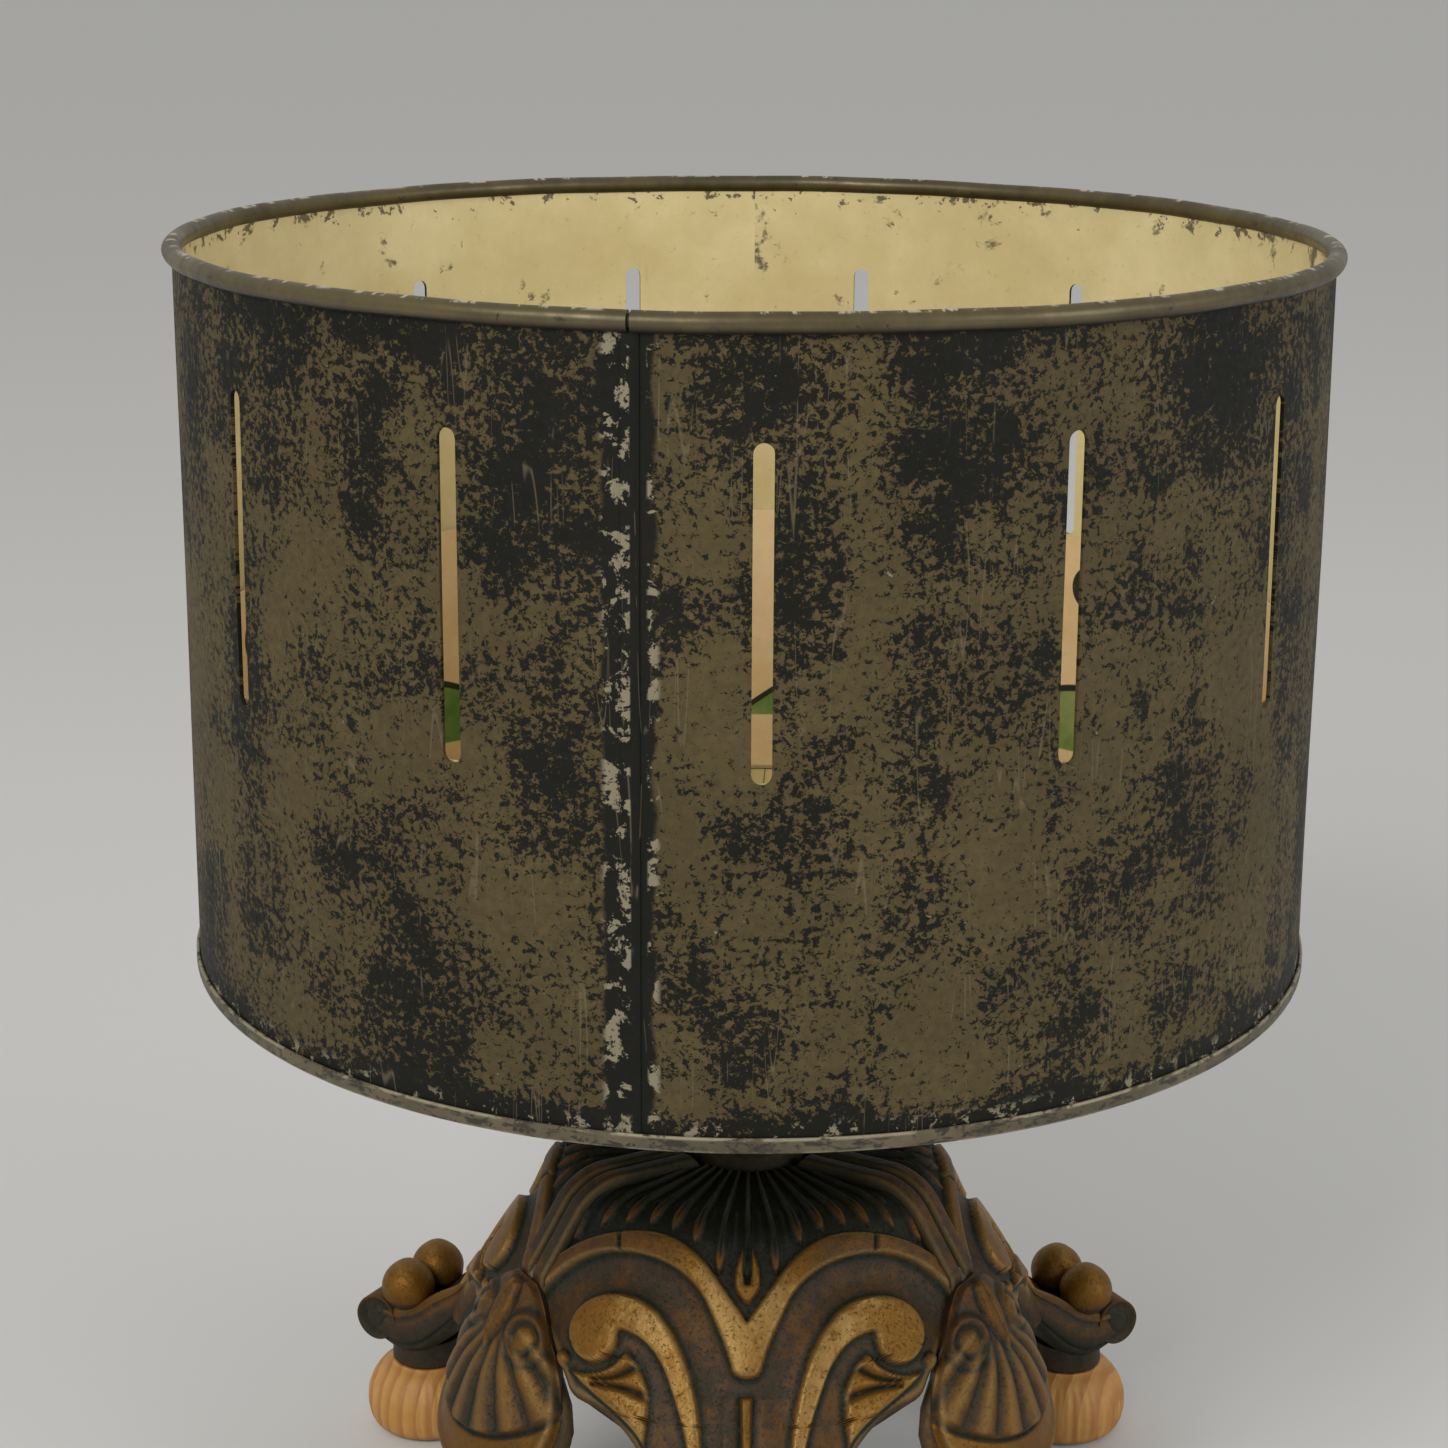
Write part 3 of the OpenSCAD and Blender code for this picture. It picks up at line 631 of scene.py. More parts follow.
def plain_metal(name, light, dark, metallic, rough, scale=60.0):
    """A turned or cast metal with tarnish in patches and a fine bumpy grain."""
    made, tree, shader, where = material(name)
    tone = mottle(tree, where, scale)
    colour = coats(tree, blend(tree, tone, dark, light),
                   (flecks(tree, where, scale * 3, 0.3, 0.1), 0.6, dark))
    fill(tree, shader, {"Base Color": colour, "Metallic": metallic,
                        "Roughness": fade(tree, tone, 0.0, 1.0, rough + 0.12, rough - 0.06)})
    bump(tree, shader, noise(tree, where, 800.0, 3.0, 0.6), 0.03)
    return made


def bare_softwood():
    """Bare turned softwood, its year rings standing upright."""
    made, tree, shader, where = material("bare softwood")
    leaning = stretched(tree, where, (1.0, 1.0, 0.12), (0.10, -0.16, 0.35))
    years = plus(tree, times(tree, split(tree, leaning)[0], 215.0),
                 times(tree, noise(tree, leaning, 24.0, 3.0, 0.5), 3.4))
    ring = calc(tree, "FRACT", years)
    late = times(tree, fade(tree, ring, 0.25, 0.85), fade(tree, ring, 1.0, 0.88))
    fibre = noise(tree, stretched(tree, where, (1.0, 1.0, 0.08)), 1100.0, 3.0, 0.6)
    # painted shade: the bottom few millimetres of the foot, which turn under towards the floor, are
    # darkened
    painted_shade_below = fade_mm(tree, split(tree, where)[2], 4.0, 0.5)
    clean = blend(tree, mottle(tree, where, 50.0), rgb(184, 133, 66), rgb(202, 153, 84))
    colour = coats(tree, clean, (late, 0.75, rgb(162, 104, 46)),
                   (fibre, 0.25, rgb(178, 126, 66)), (painted_shade_below, 0.5, rgb(120, 84, 50)))
    fill(tree, shader, {"Base Color": colour, "Roughness": 0.55})
    bump(tree, shader, plus(tree, late, fibre), 0.12)
    return made


MATERIALS = {
    "japan": japanned_tin(),
    "cream": cream_paint(),
    "bead": olive_bead(),
    "floor": worn_floor_tin(),
    "paper": printed_paper(),
    "bronze": bronzed_casting(),
    "wood": bare_softwood(),
    "iron": plain_metal("dark bronzed iron", rgb(74, 66, 50), rgb(36, 33, 26), 0.3, 0.5),
    "steel": plain_metal("dull steel", rgb(150, 146, 138), rgb(92, 86, 76), 0.85, 0.4, 90.0),
    "brass": plain_metal("tarnished brass", rgb(190, 152, 80), rgb(120, 88, 42), 0.85, 0.36, 70.0),
}


def dress(piece, *names):
    piece.data.materials.clear()
    for name in names:
        piece.data.materials.append(MATERIALS[name])


# ------------------------------------------------------------------- drum


def dent(turn, level):
    """How far the thin wall stands out or in, in millimetres, fading to nothing at rim and floor."""
    span = (level - wall_foot) / (rim_top - wall_foot)
    free = np.clip(np.sin(np.pi * np.clip(span, 0, 1)), 0, 1)
    waves = (0.22 * np.sin(3 * turn + 0.7) * np.cos(5 * span + 0.4)
             + 0.14 * np.sin(7 * turn + 4 * span) + 0.08 * np.sin(17 * turn - 6 * span + 1.3))
    return waves * free


def wall_turns():
    """The wall's column lines, in radians from the front: fine at the slots and at the seam."""
    half = slot_w / 2 / drum_r
    rounded = [math.sin(math.radians(a)) for a in (-90, -64, -40, -18, 0, 18, 40, 64, 90)]
    lines = []
    pitch = 2 * math.pi / slot_count
    for i in range(slot_count):
        middle = math.radians(slot_turn) + i * pitch
        lines += [middle + half * share for share in rounded]
        lines += list(np.linspace(middle + half, middle + pitch - half, 20)[1:-1])
    seam = math.radians(seam_turn) + 2 * math.pi
    side = seam_w / 2 / drum_r
    steps = [seam + side * share for share in (-1.3, -1.12, -0.95, -0.75, 0, 0.8, 0.97, 1.03, 1.3)]
    lines = [a for a in lines if not seam - side * 1.6 < a < seam + side * 1.6] + steps
    return np.array(sorted(lines))


def seam_lift(turn):
    """The folded lock seam stands out, with a crisp right edge and a sunk line beside it."""
    x = (np.mod(turn - math.radians(seam_turn) + math.pi, 2 * math.pi) - math.pi) * drum_r
    half = seam_w / 2
    lift = np.interp(x / half, [-1.25, -0.95, 0, 0.95, 1.0, 1.06, 1.35],
                     [0, 0.85 * seam_rise, seam_rise, seam_rise, 0.0, -0.2, 0.0])
    return np.where(np.abs(x) < 1.3 * half, lift, 0.0)


def tin_wall():
    """The drum's wall: a flat sheet with its slots, rolled up and given its thickness."""
    turns = wall_turns()
    r = slot_w / 2
    low, high = wall_foot, bead_level - bead_r * 0.6
    levels = sorted(set(
        [round(v, 3) for v in np.linspace(low, slot_bottom + r - 4.5, 18)]
        + [round(v, 3) for v in np.linspace(slot_bottom + r, slot_top - r, 18)]
        + [round(v, 3) for v in np.linspace(slot_top - r + 4.5, high, 5)]))
    columns, rows = len(turns), len(levels)
    deselect()
    bpy.ops.mesh.primitive_grid_add(x_subdivisions=columns, y_subdivisions=rows - 1, size=2)
    sheet = added("tin_wall")
    flat = points_of(sheet) * MM
    column = np.rint((flat[:, 0] + 1) / 2 * columns).astype(int)
    row = np.rint((flat[:, 1] + 1) / 2 * (rows - 1)).astype(int)
    ring = np.append(turns, turns[0] + 2 * math.pi)
    turn, level = ring[column], np.array(levels)[row]
    pitch = 2 * math.pi / slot_count
    from_slot = (np.mod(turn - math.radians(slot_turn) + pitch / 2, pitch) - pitch / 2) * drum_r
    in_slot = np.abs(from_slot) < r - 0.001
    round_end = np.sqrt(np.clip(r * r - from_slot ** 2, 0, None))
    top_row = levels.index(round(slot_top - r, 3))
    bottom_row = levels.index(round(slot_bottom + r, 3))
    level = np.where(in_slot & (row == top_row), level + round_end, level)
    level = np.where(in_slot & (row == bottom_row), level - round_end, level)
    radius = drum_r + dent(turn, level) + seam_lift(turn)
    put_points(sheet, np.stack([radius * np.sin(turn), -radius * np.cos(turn), level], 1))
    edit(sheet)
    cut = (np.abs(from_slot) < r + 0.001) & (row >= bottom_row) & (row <= top_row)
    for face in sheet.data.polygons:
        face.select = all(cut[v] for v in face.vertices)
    bpy.ops.object.mode_set(mode="EDIT")
    bpy.ops.mesh.delete(type="FACE")
    finish_edit()
    outward(sheet)
    dress(sheet, "japan", "cream", "japan")
    modifier(sheet, "SOLIDIFY", thickness=sheet_t * MM, offset=-1.0, material_offset=1,
             material_offset_rim=2)
    smooth(sheet, 30)
    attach(sheet, "drum")
    return sheet


def rolled_rim():
    """The rim's wired roll, open for a millimetre at the seam."""
    segments = 300
    half_step = math.pi / segments
    seam = math.radians(seam_turn)
    deselect()
    bpy.ops.mesh.primitive_torus_add(major_segments=segments, minor_segments=24,
                                     major_radius=drum_r * MM, minor_radius=bead_r * MM,
                                     location=(0, 0, bead_level * MM),
                                     rotation=(0, 0, math.radians(seam_turn - 90) + half_step))
    rim = added("rolled_rim")
    pick_faces(rim, lambda c, n: abs(math.atan2(c.x, -c.y) - seam) < half_step * 0.97)
    bpy.ops.mesh.delete(type="FACE")
    finish_edit()
    modifier(rim, "SOLIDIFY", thickness=0.8 * MM, offset=-1.0)
    points = points_of(rim)
    turn = np.arctan2(points[:, 0], -points[:, 1])
    across = (np.mod(turn - seam + math.pi, 2 * math.pi) - math.pi) * drum_r
    close = np.abs(across) < 2.2
    turn = np.where(close, seam + np.sign(across) * 0.4 / drum_r, turn)
    reach = np.hypot(points[:, 0], points[:, 1])
    points[:, 0], points[:, 1] = reach * np.sin(turn), -reach * np.cos(turn)
    points[:, 2] += 0.10 * np.sin(9 * turn) + 0.06 * np.sin(23 * turn + 1)
    put_points(rim, points)
    dress(rim, "bead")
    smooth(rim, 50)
    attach(rim, "drum")


def floor_pan():
    """The floor's disc with its turned-up, hemmed edge, and a sunk ring pressed into it."""
    inner = 9.2
    r0, low = fold_r, floor_low
    profile = [(inner, low), (60, low), (62, low + 0.35), (66, low + 0.35), (68, low)]
    profile += [(r0 - 1.4, low)] + arc((r0 - 1.2, low + 1.2), 1.2, -90, 0, 5)
    profile += [(r0, fold_top - 0.6)] + arc((r0 - 0.5, fold_top - 0.5), 0.5, 0, 180, 5)
    profile += [(r0 - 1.0, low + 1.6), (r0 - 1.3, low + sheet_t), (68, low + sheet_t),
                (66, low + 1.35), (62, low + 1.35), (60, low + sheet_t), (inner, low + sheet_t)]
    pan = spun("floor_pan", profile, 240)
    dress(pan, "floor", "cream")
    for face in pan.data.polygons:
        up = face.normal.z > 0.5 and face.center.z > (low + 0.9) * MM
        face.material_index = int(up and math.hypot(face.center.x, face.center.y) < (r0 - 1.5) * MM)
    smooth(pan, 35)
    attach(pan, "drum")
    return pan


def paper_band():
    """The loose picture band: a long sheet with a slightly wavy edge, curled inside the wall."""
    thick = 0.55
    deselect()
    bpy.ops.mesh.primitive_grid_add(x_subdivisions=220, y_subdivisions=10, size=2)
    band = added("paper_band")
    flat = points_of(band) * MM
    turn = math.radians(171) + (flat[:, 0] + 1) * math.pi
    share = (flat[:, 1] + 1) / 2
    level = strip_low + (strip_high - strip_low) * share
    ripple = 0.12 * np.sin(11 * turn) * share + 0.05 * np.sin(29 * turn + 2)
    radius = strip_out_r - 0.1 + np.minimum(ripple, 0.0)
    put_points(band, np.stack([radius * np.sin(turn), -radius * np.cos(turn), level], 1))
    outward(band)
    modifier(band, "SOLIDIFY", thickness=thick * MM, offset=-1.0)
    dress(band, "paper")
    smooth(band, 30)
    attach(band, "strip")
    return band


# --------------------------------------------------------------- castings
# Outlines on the flank: x across the leg, y down the slope from the crown's axis.


def curve(a, b, c, d, steps=10):
    """Points along a cubic curve, without its last point."""
    t = np.arange(steps)[:, None] / steps
    a, b, c, d = (np.array(p, float) for p in (a, b, c, d))
    return (1 - t) ** 3 * a + 3 * (1 - t) ** 2 * t * b + 3 * (1 - t) * t * t * c + t ** 3 * d


def path(*parts):
    return np.vstack([np.atleast_2d(np.array(p, float)) for p in parts])


def mirrored(points):
    return (points * (-1, 1))[::-1]


UNDER_STEP = 8  # points on a casting's top for each one under it

LEG_EDGE = path((80, -5), (80, 30), curve((66, 42), (58, 50), (52.5, 60), (49.5, 68)),
                curve((49.5, 68), (48.5, 71), (45, 72.5), (42, 73.6)),
                curve((42, 73.6), (34, 77.5), (28.5, 86), (24, 96)),
                curve((24, 96), (20.5, 103), (14.5, 108), (12.8, 116)), (12.6, 118))
BAND_TOP = path(curve((64, 46), (54, 33), (44, 28), (33, 28)),
                curve((33, 28), (22, 28), (15, 31), (8, 41)), (0, 52.5))
BAND_LOW = path((61, 51), curve((59.5, 48.5), (53, 40), (46, 34), (36, 33.8)),
                curve((36, 33.8), (24, 34), (15, 40), (11, 47.5)),
                curve((11, 47.5), (8.5, 53), (5.5, 59), (4, 65)),
                curve((4, 65), (3.4, 67), (1.5, 67.6), (0, 67.6)), (0, 67.6))
COMMA = path((8.5, 104), curve((11.4, 85), (12.4, 72), (15.5, 60), (22.5, 50.8)),
             curve((22.5, 50.8), (26.5, 46.6), (31, 44.6), (36.6, 44.6)),
             curve((36.6, 44.6), (42.5, 44.6), (47.2, 49.5), (47.1, 54.5)),
             curve((47.1, 54.5), (47, 59.5), (43.5, 62.9), (40, 62.9)),
             curve((40, 62.9), (36.5, 62.9), (34, 59.5), (34.2, 56.4)),
             curve((33.6, 54.6), (28, 55.5), (23.5, 60), (20.8, 67.5)),
             curve((20.8, 67.5), (18.6, 73.5), (16.5, 80), (15.6, 85)), (11.5, 104))
FAN = path((34.5, 63), curve((31.8, 60.2), (27, 64), (24.6, 70), (25.8, 76.5)),
           (26.6, 85.0), curve((26.6, 85.0), (30.5, 77.0), (41, 72), (47.0, 64.0)),
           curve((47.0, 64.0), (44.5, 65.4), (39.5, 66.4), (34.5, 63)))
FAN_GROOVES = [path(curve((40.5, 66.6), (36, 67.6), (31.4, 66.4), (26.4, 62.2))),
               path(curve((40.5, 68.2), (35, 68.6), (29.5, 69.8), (23.6, 73.6)))]
TONGUE = path(curve((0, 30.5), (1.9, 34.5), (3.9, 39), (3.6, 43)),
              curve((3.6, 43), (3.2, 45.6), (1.4, 47.4), (0, 48.8)))
BAR = path((1.6, 72), (1, 106), (-1, 106), (-1.6, 72))
BULB = (39.6, 53.6)
KNOB = (49.4, 61.2)
LEAF = path((0, 57), curve((5, 57), (10, 58), (15, 64), (22, 71)),
            curve((22, 71), (27.5, 77.5), (29.5, 84), (29.5, 90)),
            curve((29.5, 90), (29.5, 99), (21, 111), (0, 113.5)), (0, 113.5))
LEAF_BACK = path((0, 70), curve((18, 70), (27, 74.5), (32.5, 82), (32.5, 91)),
                 curve((32.5, 91), (32.5, 102), (23, 113.5), (0, 116)), (0, 116))


def closed(half):
    return np.vstack([half, mirrored(half)])


BAND = np.vstack([BAND_TOP, mirrored(BAND_TOP), mirrored(BAND_LOW)[::-1], BAND_LOW[::-1]])


def to_line(points, line):
    """Distance from each point to an open line."""
    best = np.full(len(points), 1e9)
    for a, b in zip(line[:-1], line[1:]):
        along = b - a
        size = max(float(along @ along), 1e-12)
        t = np.clip(((points - a) @ along) / size, 0, 1)
        gap = points - a - t[:, None] * along
        best = np.minimum(best, (gap ** 2).sum(1))
    return np.sqrt(best)


def inside(points, outline):
    """Signed distance to a closed outline: positive inside it."""
    ring = np.vstack([outline, outline[:1]])
    odd = np.zeros(len(points), bool)
    for a, b in zip(ring[:-1], ring[1:]):
        crosses = (a[1] > points[:, 1]) != (b[1] > points[:, 1])
        rise = b[1] - a[1] if b[1] != a[1] else 1e-12
        odd ^= crosses & (points[:, 0] < (b[0] - a[0]) * (points[:, 1] - a[1]) / rise + a[0])
    return np.where(odd, 1.0, -1.0) * to_line(points, ring)


def step(x, low, high):
    t = np.clip((x - low) / (high - low), 0, 1)
    return t * t * (3 - 2 * t)


def peak(x, width, at=0.0):
    """A soft hill of height 1 about one place."""
    return np.exp(-((x - at) / width) ** 2)


def raised(depth, height, edge, crown=0.0):
    """A raised face: a rounded edge of the given width, then a slightly crowned top."""
    t = np.clip(depth / edge, 0, 1)
    return height * np.sin(t * math.pi / 2) ** 0.8 * (depth > 0) + crown * step(depth, 0, 4)


shoulder_run = shoulder_r * flank_angle
shoulder_low = crown_z - shoulder_r + shoulder_r * math.cos(flank_angle)
flank_run = (shoulder_low - skirt_z) / math.sin(flank_angle)


def dome(run):
    """Radius, height and slope of the dome at a run outwards from the crown's edge."""
    angle = np.clip(run / shoulder_r, 0, flank_angle)
    down = np.clip(run - shoulder_run, 0, None)
    radius = np.where(run < 0, crown_r + run,
                      crown_r + shoulder_r * np.sin(angle) + down * math.cos(flank_angle))
    height = np.where(run < 0, crown_z, crown_z - shoulder_r + shoulder_r * np.cos(angle)
                      - down * math.sin(flank_angle))
    return radius, height, angle


def dome_normal(turn, slope):
    return np.stack([np.sin(slope) * np.sin(turn), -np.sin(slope) * np.cos(turn),
                     np.cos(slope)], -1)


def on_flank(x, y, z):
    """A place on the casting as (across, down the slope)."""
    return np.stack([x, -y * math.cos(flank_angle) + (crown_z - z) * math.sin(flank_angle)], -1)


def edge_width(drop):
    """Half the leg's width at a distance down the slope."""
    return np.interp(drop, LEG_EDGE[:, 1], LEG_EDGE[:, 0])


def sheet_faces(rows, columns, first=0, flip=False):
    """Quads of a grid of points, row after row."""
    i, j = np.meshgrid(np.arange(rows - 1), np.arange(columns - 1), indexing="ij")
    a = (i * columns + j).ravel() + first
    quads = np.stack([a, a + 1, a + columns + 1, a + columns], 1)
    return (quads[:, ::-1] if flip else quads).tolist()


def grid_sides(rows, columns, first=0):
    """The four sides of a grid of points, one after another round it."""
    grid = np.arange(rows * columns).reshape(rows, columns) + first
    return [side.tolist() for side in (grid[0], grid[:, -1], grid[-1, ::-1], grid[::-1, 0])]


def closed_shell(name, top, under, tone, rub, under_tone):
    """A casting closed by a sparser grid under its top, with tone and rub for every point."""
    under = under[::UNDER_STEP, ::UNDER_STEP]
    rows, columns = top.shape[:2]
    few_rows, few = under.shape[:2]
    base, spare = rows * columns, few_rows * few
    faces = sheet_faces(rows, columns) + sheet_faces(few_rows, few, base, True)
    for fine, coarse in zip(grid_sides(rows, columns), grid_sides(few_rows, few, base)):
        for k in range(len(coarse) - 1):
            run = fine[k * UNDER_STEP:(k + 1) * UNDER_STEP + 1]
            faces.append([coarse[k], coarse[k + 1]] + run[::-1])
    shell = from_points(name, np.vstack([top.reshape(-1, 3), under.reshape(-1, 3)]), faces)
    attribute(shell, "tone", np.append(tone, np.full(spare, under_tone)))
    attribute(shell, "rubbed", np.append(rub, np.zeros(spare)))
    return shell


ray_pitch = third / (ray_count + 1)


def ray_turns():
    return [ray_pitch * i - third / 2 for i in range(1, ray_count + 1)]


def ray_end_runs():
    """How far out each ray reaches: a little short of the band."""
    line = BAND_TOP[np.argsort(BAND_TOP[:, 0])]
    run = np.linspace(-24, shoulder_run + flank_run, 600)
    radius, height, _ = dome(run)
    ends = []
    for turn in ray_turns():
        flat = on_flank(radius * math.sin(turn), -radius * math.cos(turn), height)
        gap = np.interp(np.abs(flat[:, 0]), line[:, 0], line[:, 1]) - flat[:, 1]
        ends.append(run[np.argmax(gap < 1.6)])
    return np.array(ends)


def ray_relief(turn, run, radius):
    """Ridges from the collar outwards that swell into pointed buds: height, bud share and depth."""
    height, bud, dark = np.zeros_like(run), np.zeros_like(run), np.zeros_like(run)
    for middle, end in zip(ray_turns(), ray_end_runs()):
        if abs(middle) < 1e-6:
            end -= 9.0
        x = np.abs(radius * np.sin(turn - middle))
        left = end - run
        half = np.interp(left, [0, 1.5, 3.5, 6, 10, 16, 40], [0.01, 0.95, 1.45, 1.5, 1.0, 0.75, 0.5])
        half = np.minimum(half, radius * ray_pitch * 0.42)
        on = (left > 0) & (x < half)
        rise = np.sqrt(np.clip(1 - (x / half) ** 2, 0, 1)) * on
        slot = 0.6 * peak(x, 0.32) * step(left, 3.0, 5.0) * step(-left, -13.0, -9.0)
        height = np.maximum(height, ray_h * rise - slot * on)
        y = radius * np.sin(turn - middle - ray_pitch / 2)
        thin = 0.8 * peak(y, 0.45) * step(left, 7.0, 10.0) * step(run, -2.0, 2.0)
        height = np.maximum(height, thin)
        dark = np.maximum(dark, 0.8 * thin)
        bud = np.maximum(bud, rise * step(-left, -9.0, -4.0))
        dark = np.maximum(dark, rise)
    return height, bud, dark


def leg_relief(flat, turn, run, radius):
    """Height over the dome's skin, tone and rub for every point of a leg casting."""
    x = np.abs(flat[:, 0])
    half = np.stack([x, flat[:, 1]], 1)
    band, comma, fan = inside(half, BAND), inside(half, COMMA), inside(half, FAN)
    groove = np.minimum(*(to_line(half, line) for line in FAN_GROOVES))
    split = peak(groove, 0.42 + 0.035 * np.clip(42 - x, 0, 18)) * (fan > 0)
    tongue, bar = inside(flat, closed(TONGUE)), inside(flat, BAR)
    to_edge = np.where(flat[:, 1] > 30, to_line(half, LEG_EDGE), 40.0)
    top_line = BAND_TOP[np.argsort(BAND_TOP[:, 0])]
    above = step(np.interp(x, top_line[:, 0], top_line[:, 1]) - flat[:, 1], -0.2, 0.2)

    notch = peak(x, 0.45, 33.5) * (band > 0)
    face_b = raised(band, relief_h, 1.1, 0.15) - 1.3 * notch
    face_c = raised(comma, relief_h, 1.0, 0.1)
    from_bulb = np.hypot(half[:, 0] - BULB[0], half[:, 1] - BULB[1])
    face_c += 0.35 * np.clip(1 - (from_bulb / 8.5) ** 2, 0, 1) * (comma > 0)
    face_f = raised(fan, 2.0, 1.3, 0.1) + 0.35 * np.clip(groove / 2.4, 0, 1) * (fan > 0) - 1.5 * split
    face_t = raised(tongue, relief_h, 1.0)
    slot = step(-np.abs(flat[:, 0]), -1.2, -0.7) * step(-flat[:, 1], -43.6, -42.4) * (tongue > 0)
    face_t -= 1.9 * slot
    face_bar = raised(bar, 2.0, 0.8)
    knob_r = np.hypot(half[:, 0] - KNOB[0], half[:, 1] - KNOB[1]) / 2.3
    face_k = 2.0 * np.sqrt(np.clip(1 - knob_r ** 2, 0, 1))

    ray, bud, on_ray = ray_relief(turn, run, radius)
    ray = ray * above
    relief = np.maximum.reduce([face_b, face_c, face_f, face_t, face_bar, face_k, ray])

    out_b, out_c = np.clip(-band, 0, 40), np.clip(-comma, 0, 40)
    between = out_b / np.maximum(out_b + out_c, 1e-6)
    cove = np.sin(math.pi * np.clip(between, 0, 1)) * step(-(out_b + out_c), -22, -12) * (1 - above)
    open_ground = (relief < 0.05) & (above < 0.5)
    relief = relief - 1.3 * cove * open_ground
    centre = step(-x, -9, -5) * step(flat[:, 1], 69, 73) * open_ground
    relief = relief + 0.9 * centre * np.sin(np.clip((x - 1.6) / 7.5, 0, 1) * math.pi)
    rolled = np.clip(1 - to_edge / 5.0, 0, 1)
    relief = relief - (casting_t - 0.3) * (1 - np.sqrt(np.clip(1 - rolled ** 2, 0, 1)))

    hollow = np.minimum.reduce([np.abs(band + 0.55), np.abs(comma + 0.55), np.abs(fan + 0.5),
                                np.abs(tongue + 0.6), np.abs(bar + 0.5), np.abs(knob_r - 1.15) * 2.3])
    lee = peak(hollow, 0.75)
    tone = np.full(len(x), 0.37)
    tone = np.where(above > 0.5, 0.06 + 0.13 * on_ray + 0.36 * bud, tone)
    tone = np.where(above > 0.5, tone, tone + 0.05 * step(-to_edge, -8, -2))
    pale = 1.0 - 0.46 * step(x, 6, 24) + 0.06 * step(x, 45, 58)
    tone = np.where(band > 0.1, pale, tone)
    tone = np.where(comma > 0.1, 0.92 - 0.12 * step(x, 24, 40), tone)
    tone = np.where(fan > 0.15, 0.88 - 0.75 * split, tone)
    tone = np.where((tongue > 0.1) & (slot < 0.3), 0.78, tone)
    tone = np.where(bar > 0.1, 0.66, tone)
    tone = np.where(knob_r < 0.95, 0.7, tone)
    tone = tone - 0.33 * lee * (relief < 1.2) - 0.5 * notch * (band > 0) - 0.6 * slot
    rub = np.zeros(len(x))
    for face in (band, comma, fan):
        rub = np.maximum(rub, peak(face, 0.35, 0.75) * (face > 0) * 0.55)
    rub = np.maximum(rub, 0.45 * peak(to_edge, 1.0, 2.2) * (fan < -1) * (x > 24))
    return relief, np.clip(tone, 0, 1), np.clip(rub, 0, 1)


def leg_skin():
    """One leg's casting, carved on top and plain inside."""
    rows, columns = 217, 241
    run = np.linspace(-(crown_r - neck_foot_r - 1.5), shoulder_run + flank_run, rows)
    share = np.linspace(-1, 1, columns)
    radius, height, slope = dome(run)
    widest = third / 2 - 0.05 / radius
    low, high = np.zeros(rows), widest.copy()
    for _ in range(40):
        middle = (low + high) / 2
        flat = on_flank(radius * np.sin(middle), -radius * np.cos(middle), height)
        fits = edge_width(flat[:, 1]) > flat[:, 0]
        low, high = np.where(fits, middle, low), np.where(fits, high, middle)
    turn = low[:, None] * share[None, :]
    radius, height, slope = (np.repeat(v[:, None], columns, 1) for v in (radius, height, slope))
    runs = np.repeat(run[:, None], columns, 1)
    skin = np.stack([radius * np.sin(turn), -radius * np.cos(turn), height], -1)
    normal = dome_normal(turn, slope)
    flat = on_flank(skin[..., 0], skin[..., 1], skin[..., 2]).reshape(-1, 2)
    relief, tone, rub = leg_relief(flat, turn.ravel(), runs.ravel(), radius.ravel())
    side = np.abs(radius * np.sin(third / 2 - np.abs(turn))).ravel()
    lift = relief * step(side, strap_w / 2 - 0.4, strap_w / 2 + 0.3)
    top = skin + normal * np.minimum(lift, relief).reshape(rows, columns, 1)
    return closed_shell("leg", top, skin - normal * casting_t, tone, rub, 0.14)


TOE_TOP = path((80, 70), curve((88, 61.5), (91, 58.4), (93.5, 55.2), (97, 53.2)),
               curve((97, 53.2), (101, 51), (104, 49.4), (107.5, 46.4)),
               curve((107.5, 46.4), (111, 43), (115, 42), (119.5, 41)), (123.5, 41))
TOE_LOW = path((80, 63), curve((84, 58), (93, 46), (99.5, 36), (106.5, 30.4)),
               curve((106.5, 30.4), (112, 26.6), (117.5, 27.6), (123, curl_at[1] - curl_r + 0.2)),
               (124, curl_at[1] - curl_r + 0.2))
TOE_SIDE = path((70, 15.5), (86, 14.5), (94, 12.2), (101, 12.0), (108, 12.5), (115, 13.6),
                (125, 13.4))


def along(line, shares):
    """Points at even shares of a line's length."""
    length = np.append(0, np.cumsum(np.hypot(*np.diff(line, axis=0).T)))
    return np.stack([np.interp(shares * length[-1], length, line[:, k]) for k in (0, 1)], 1)


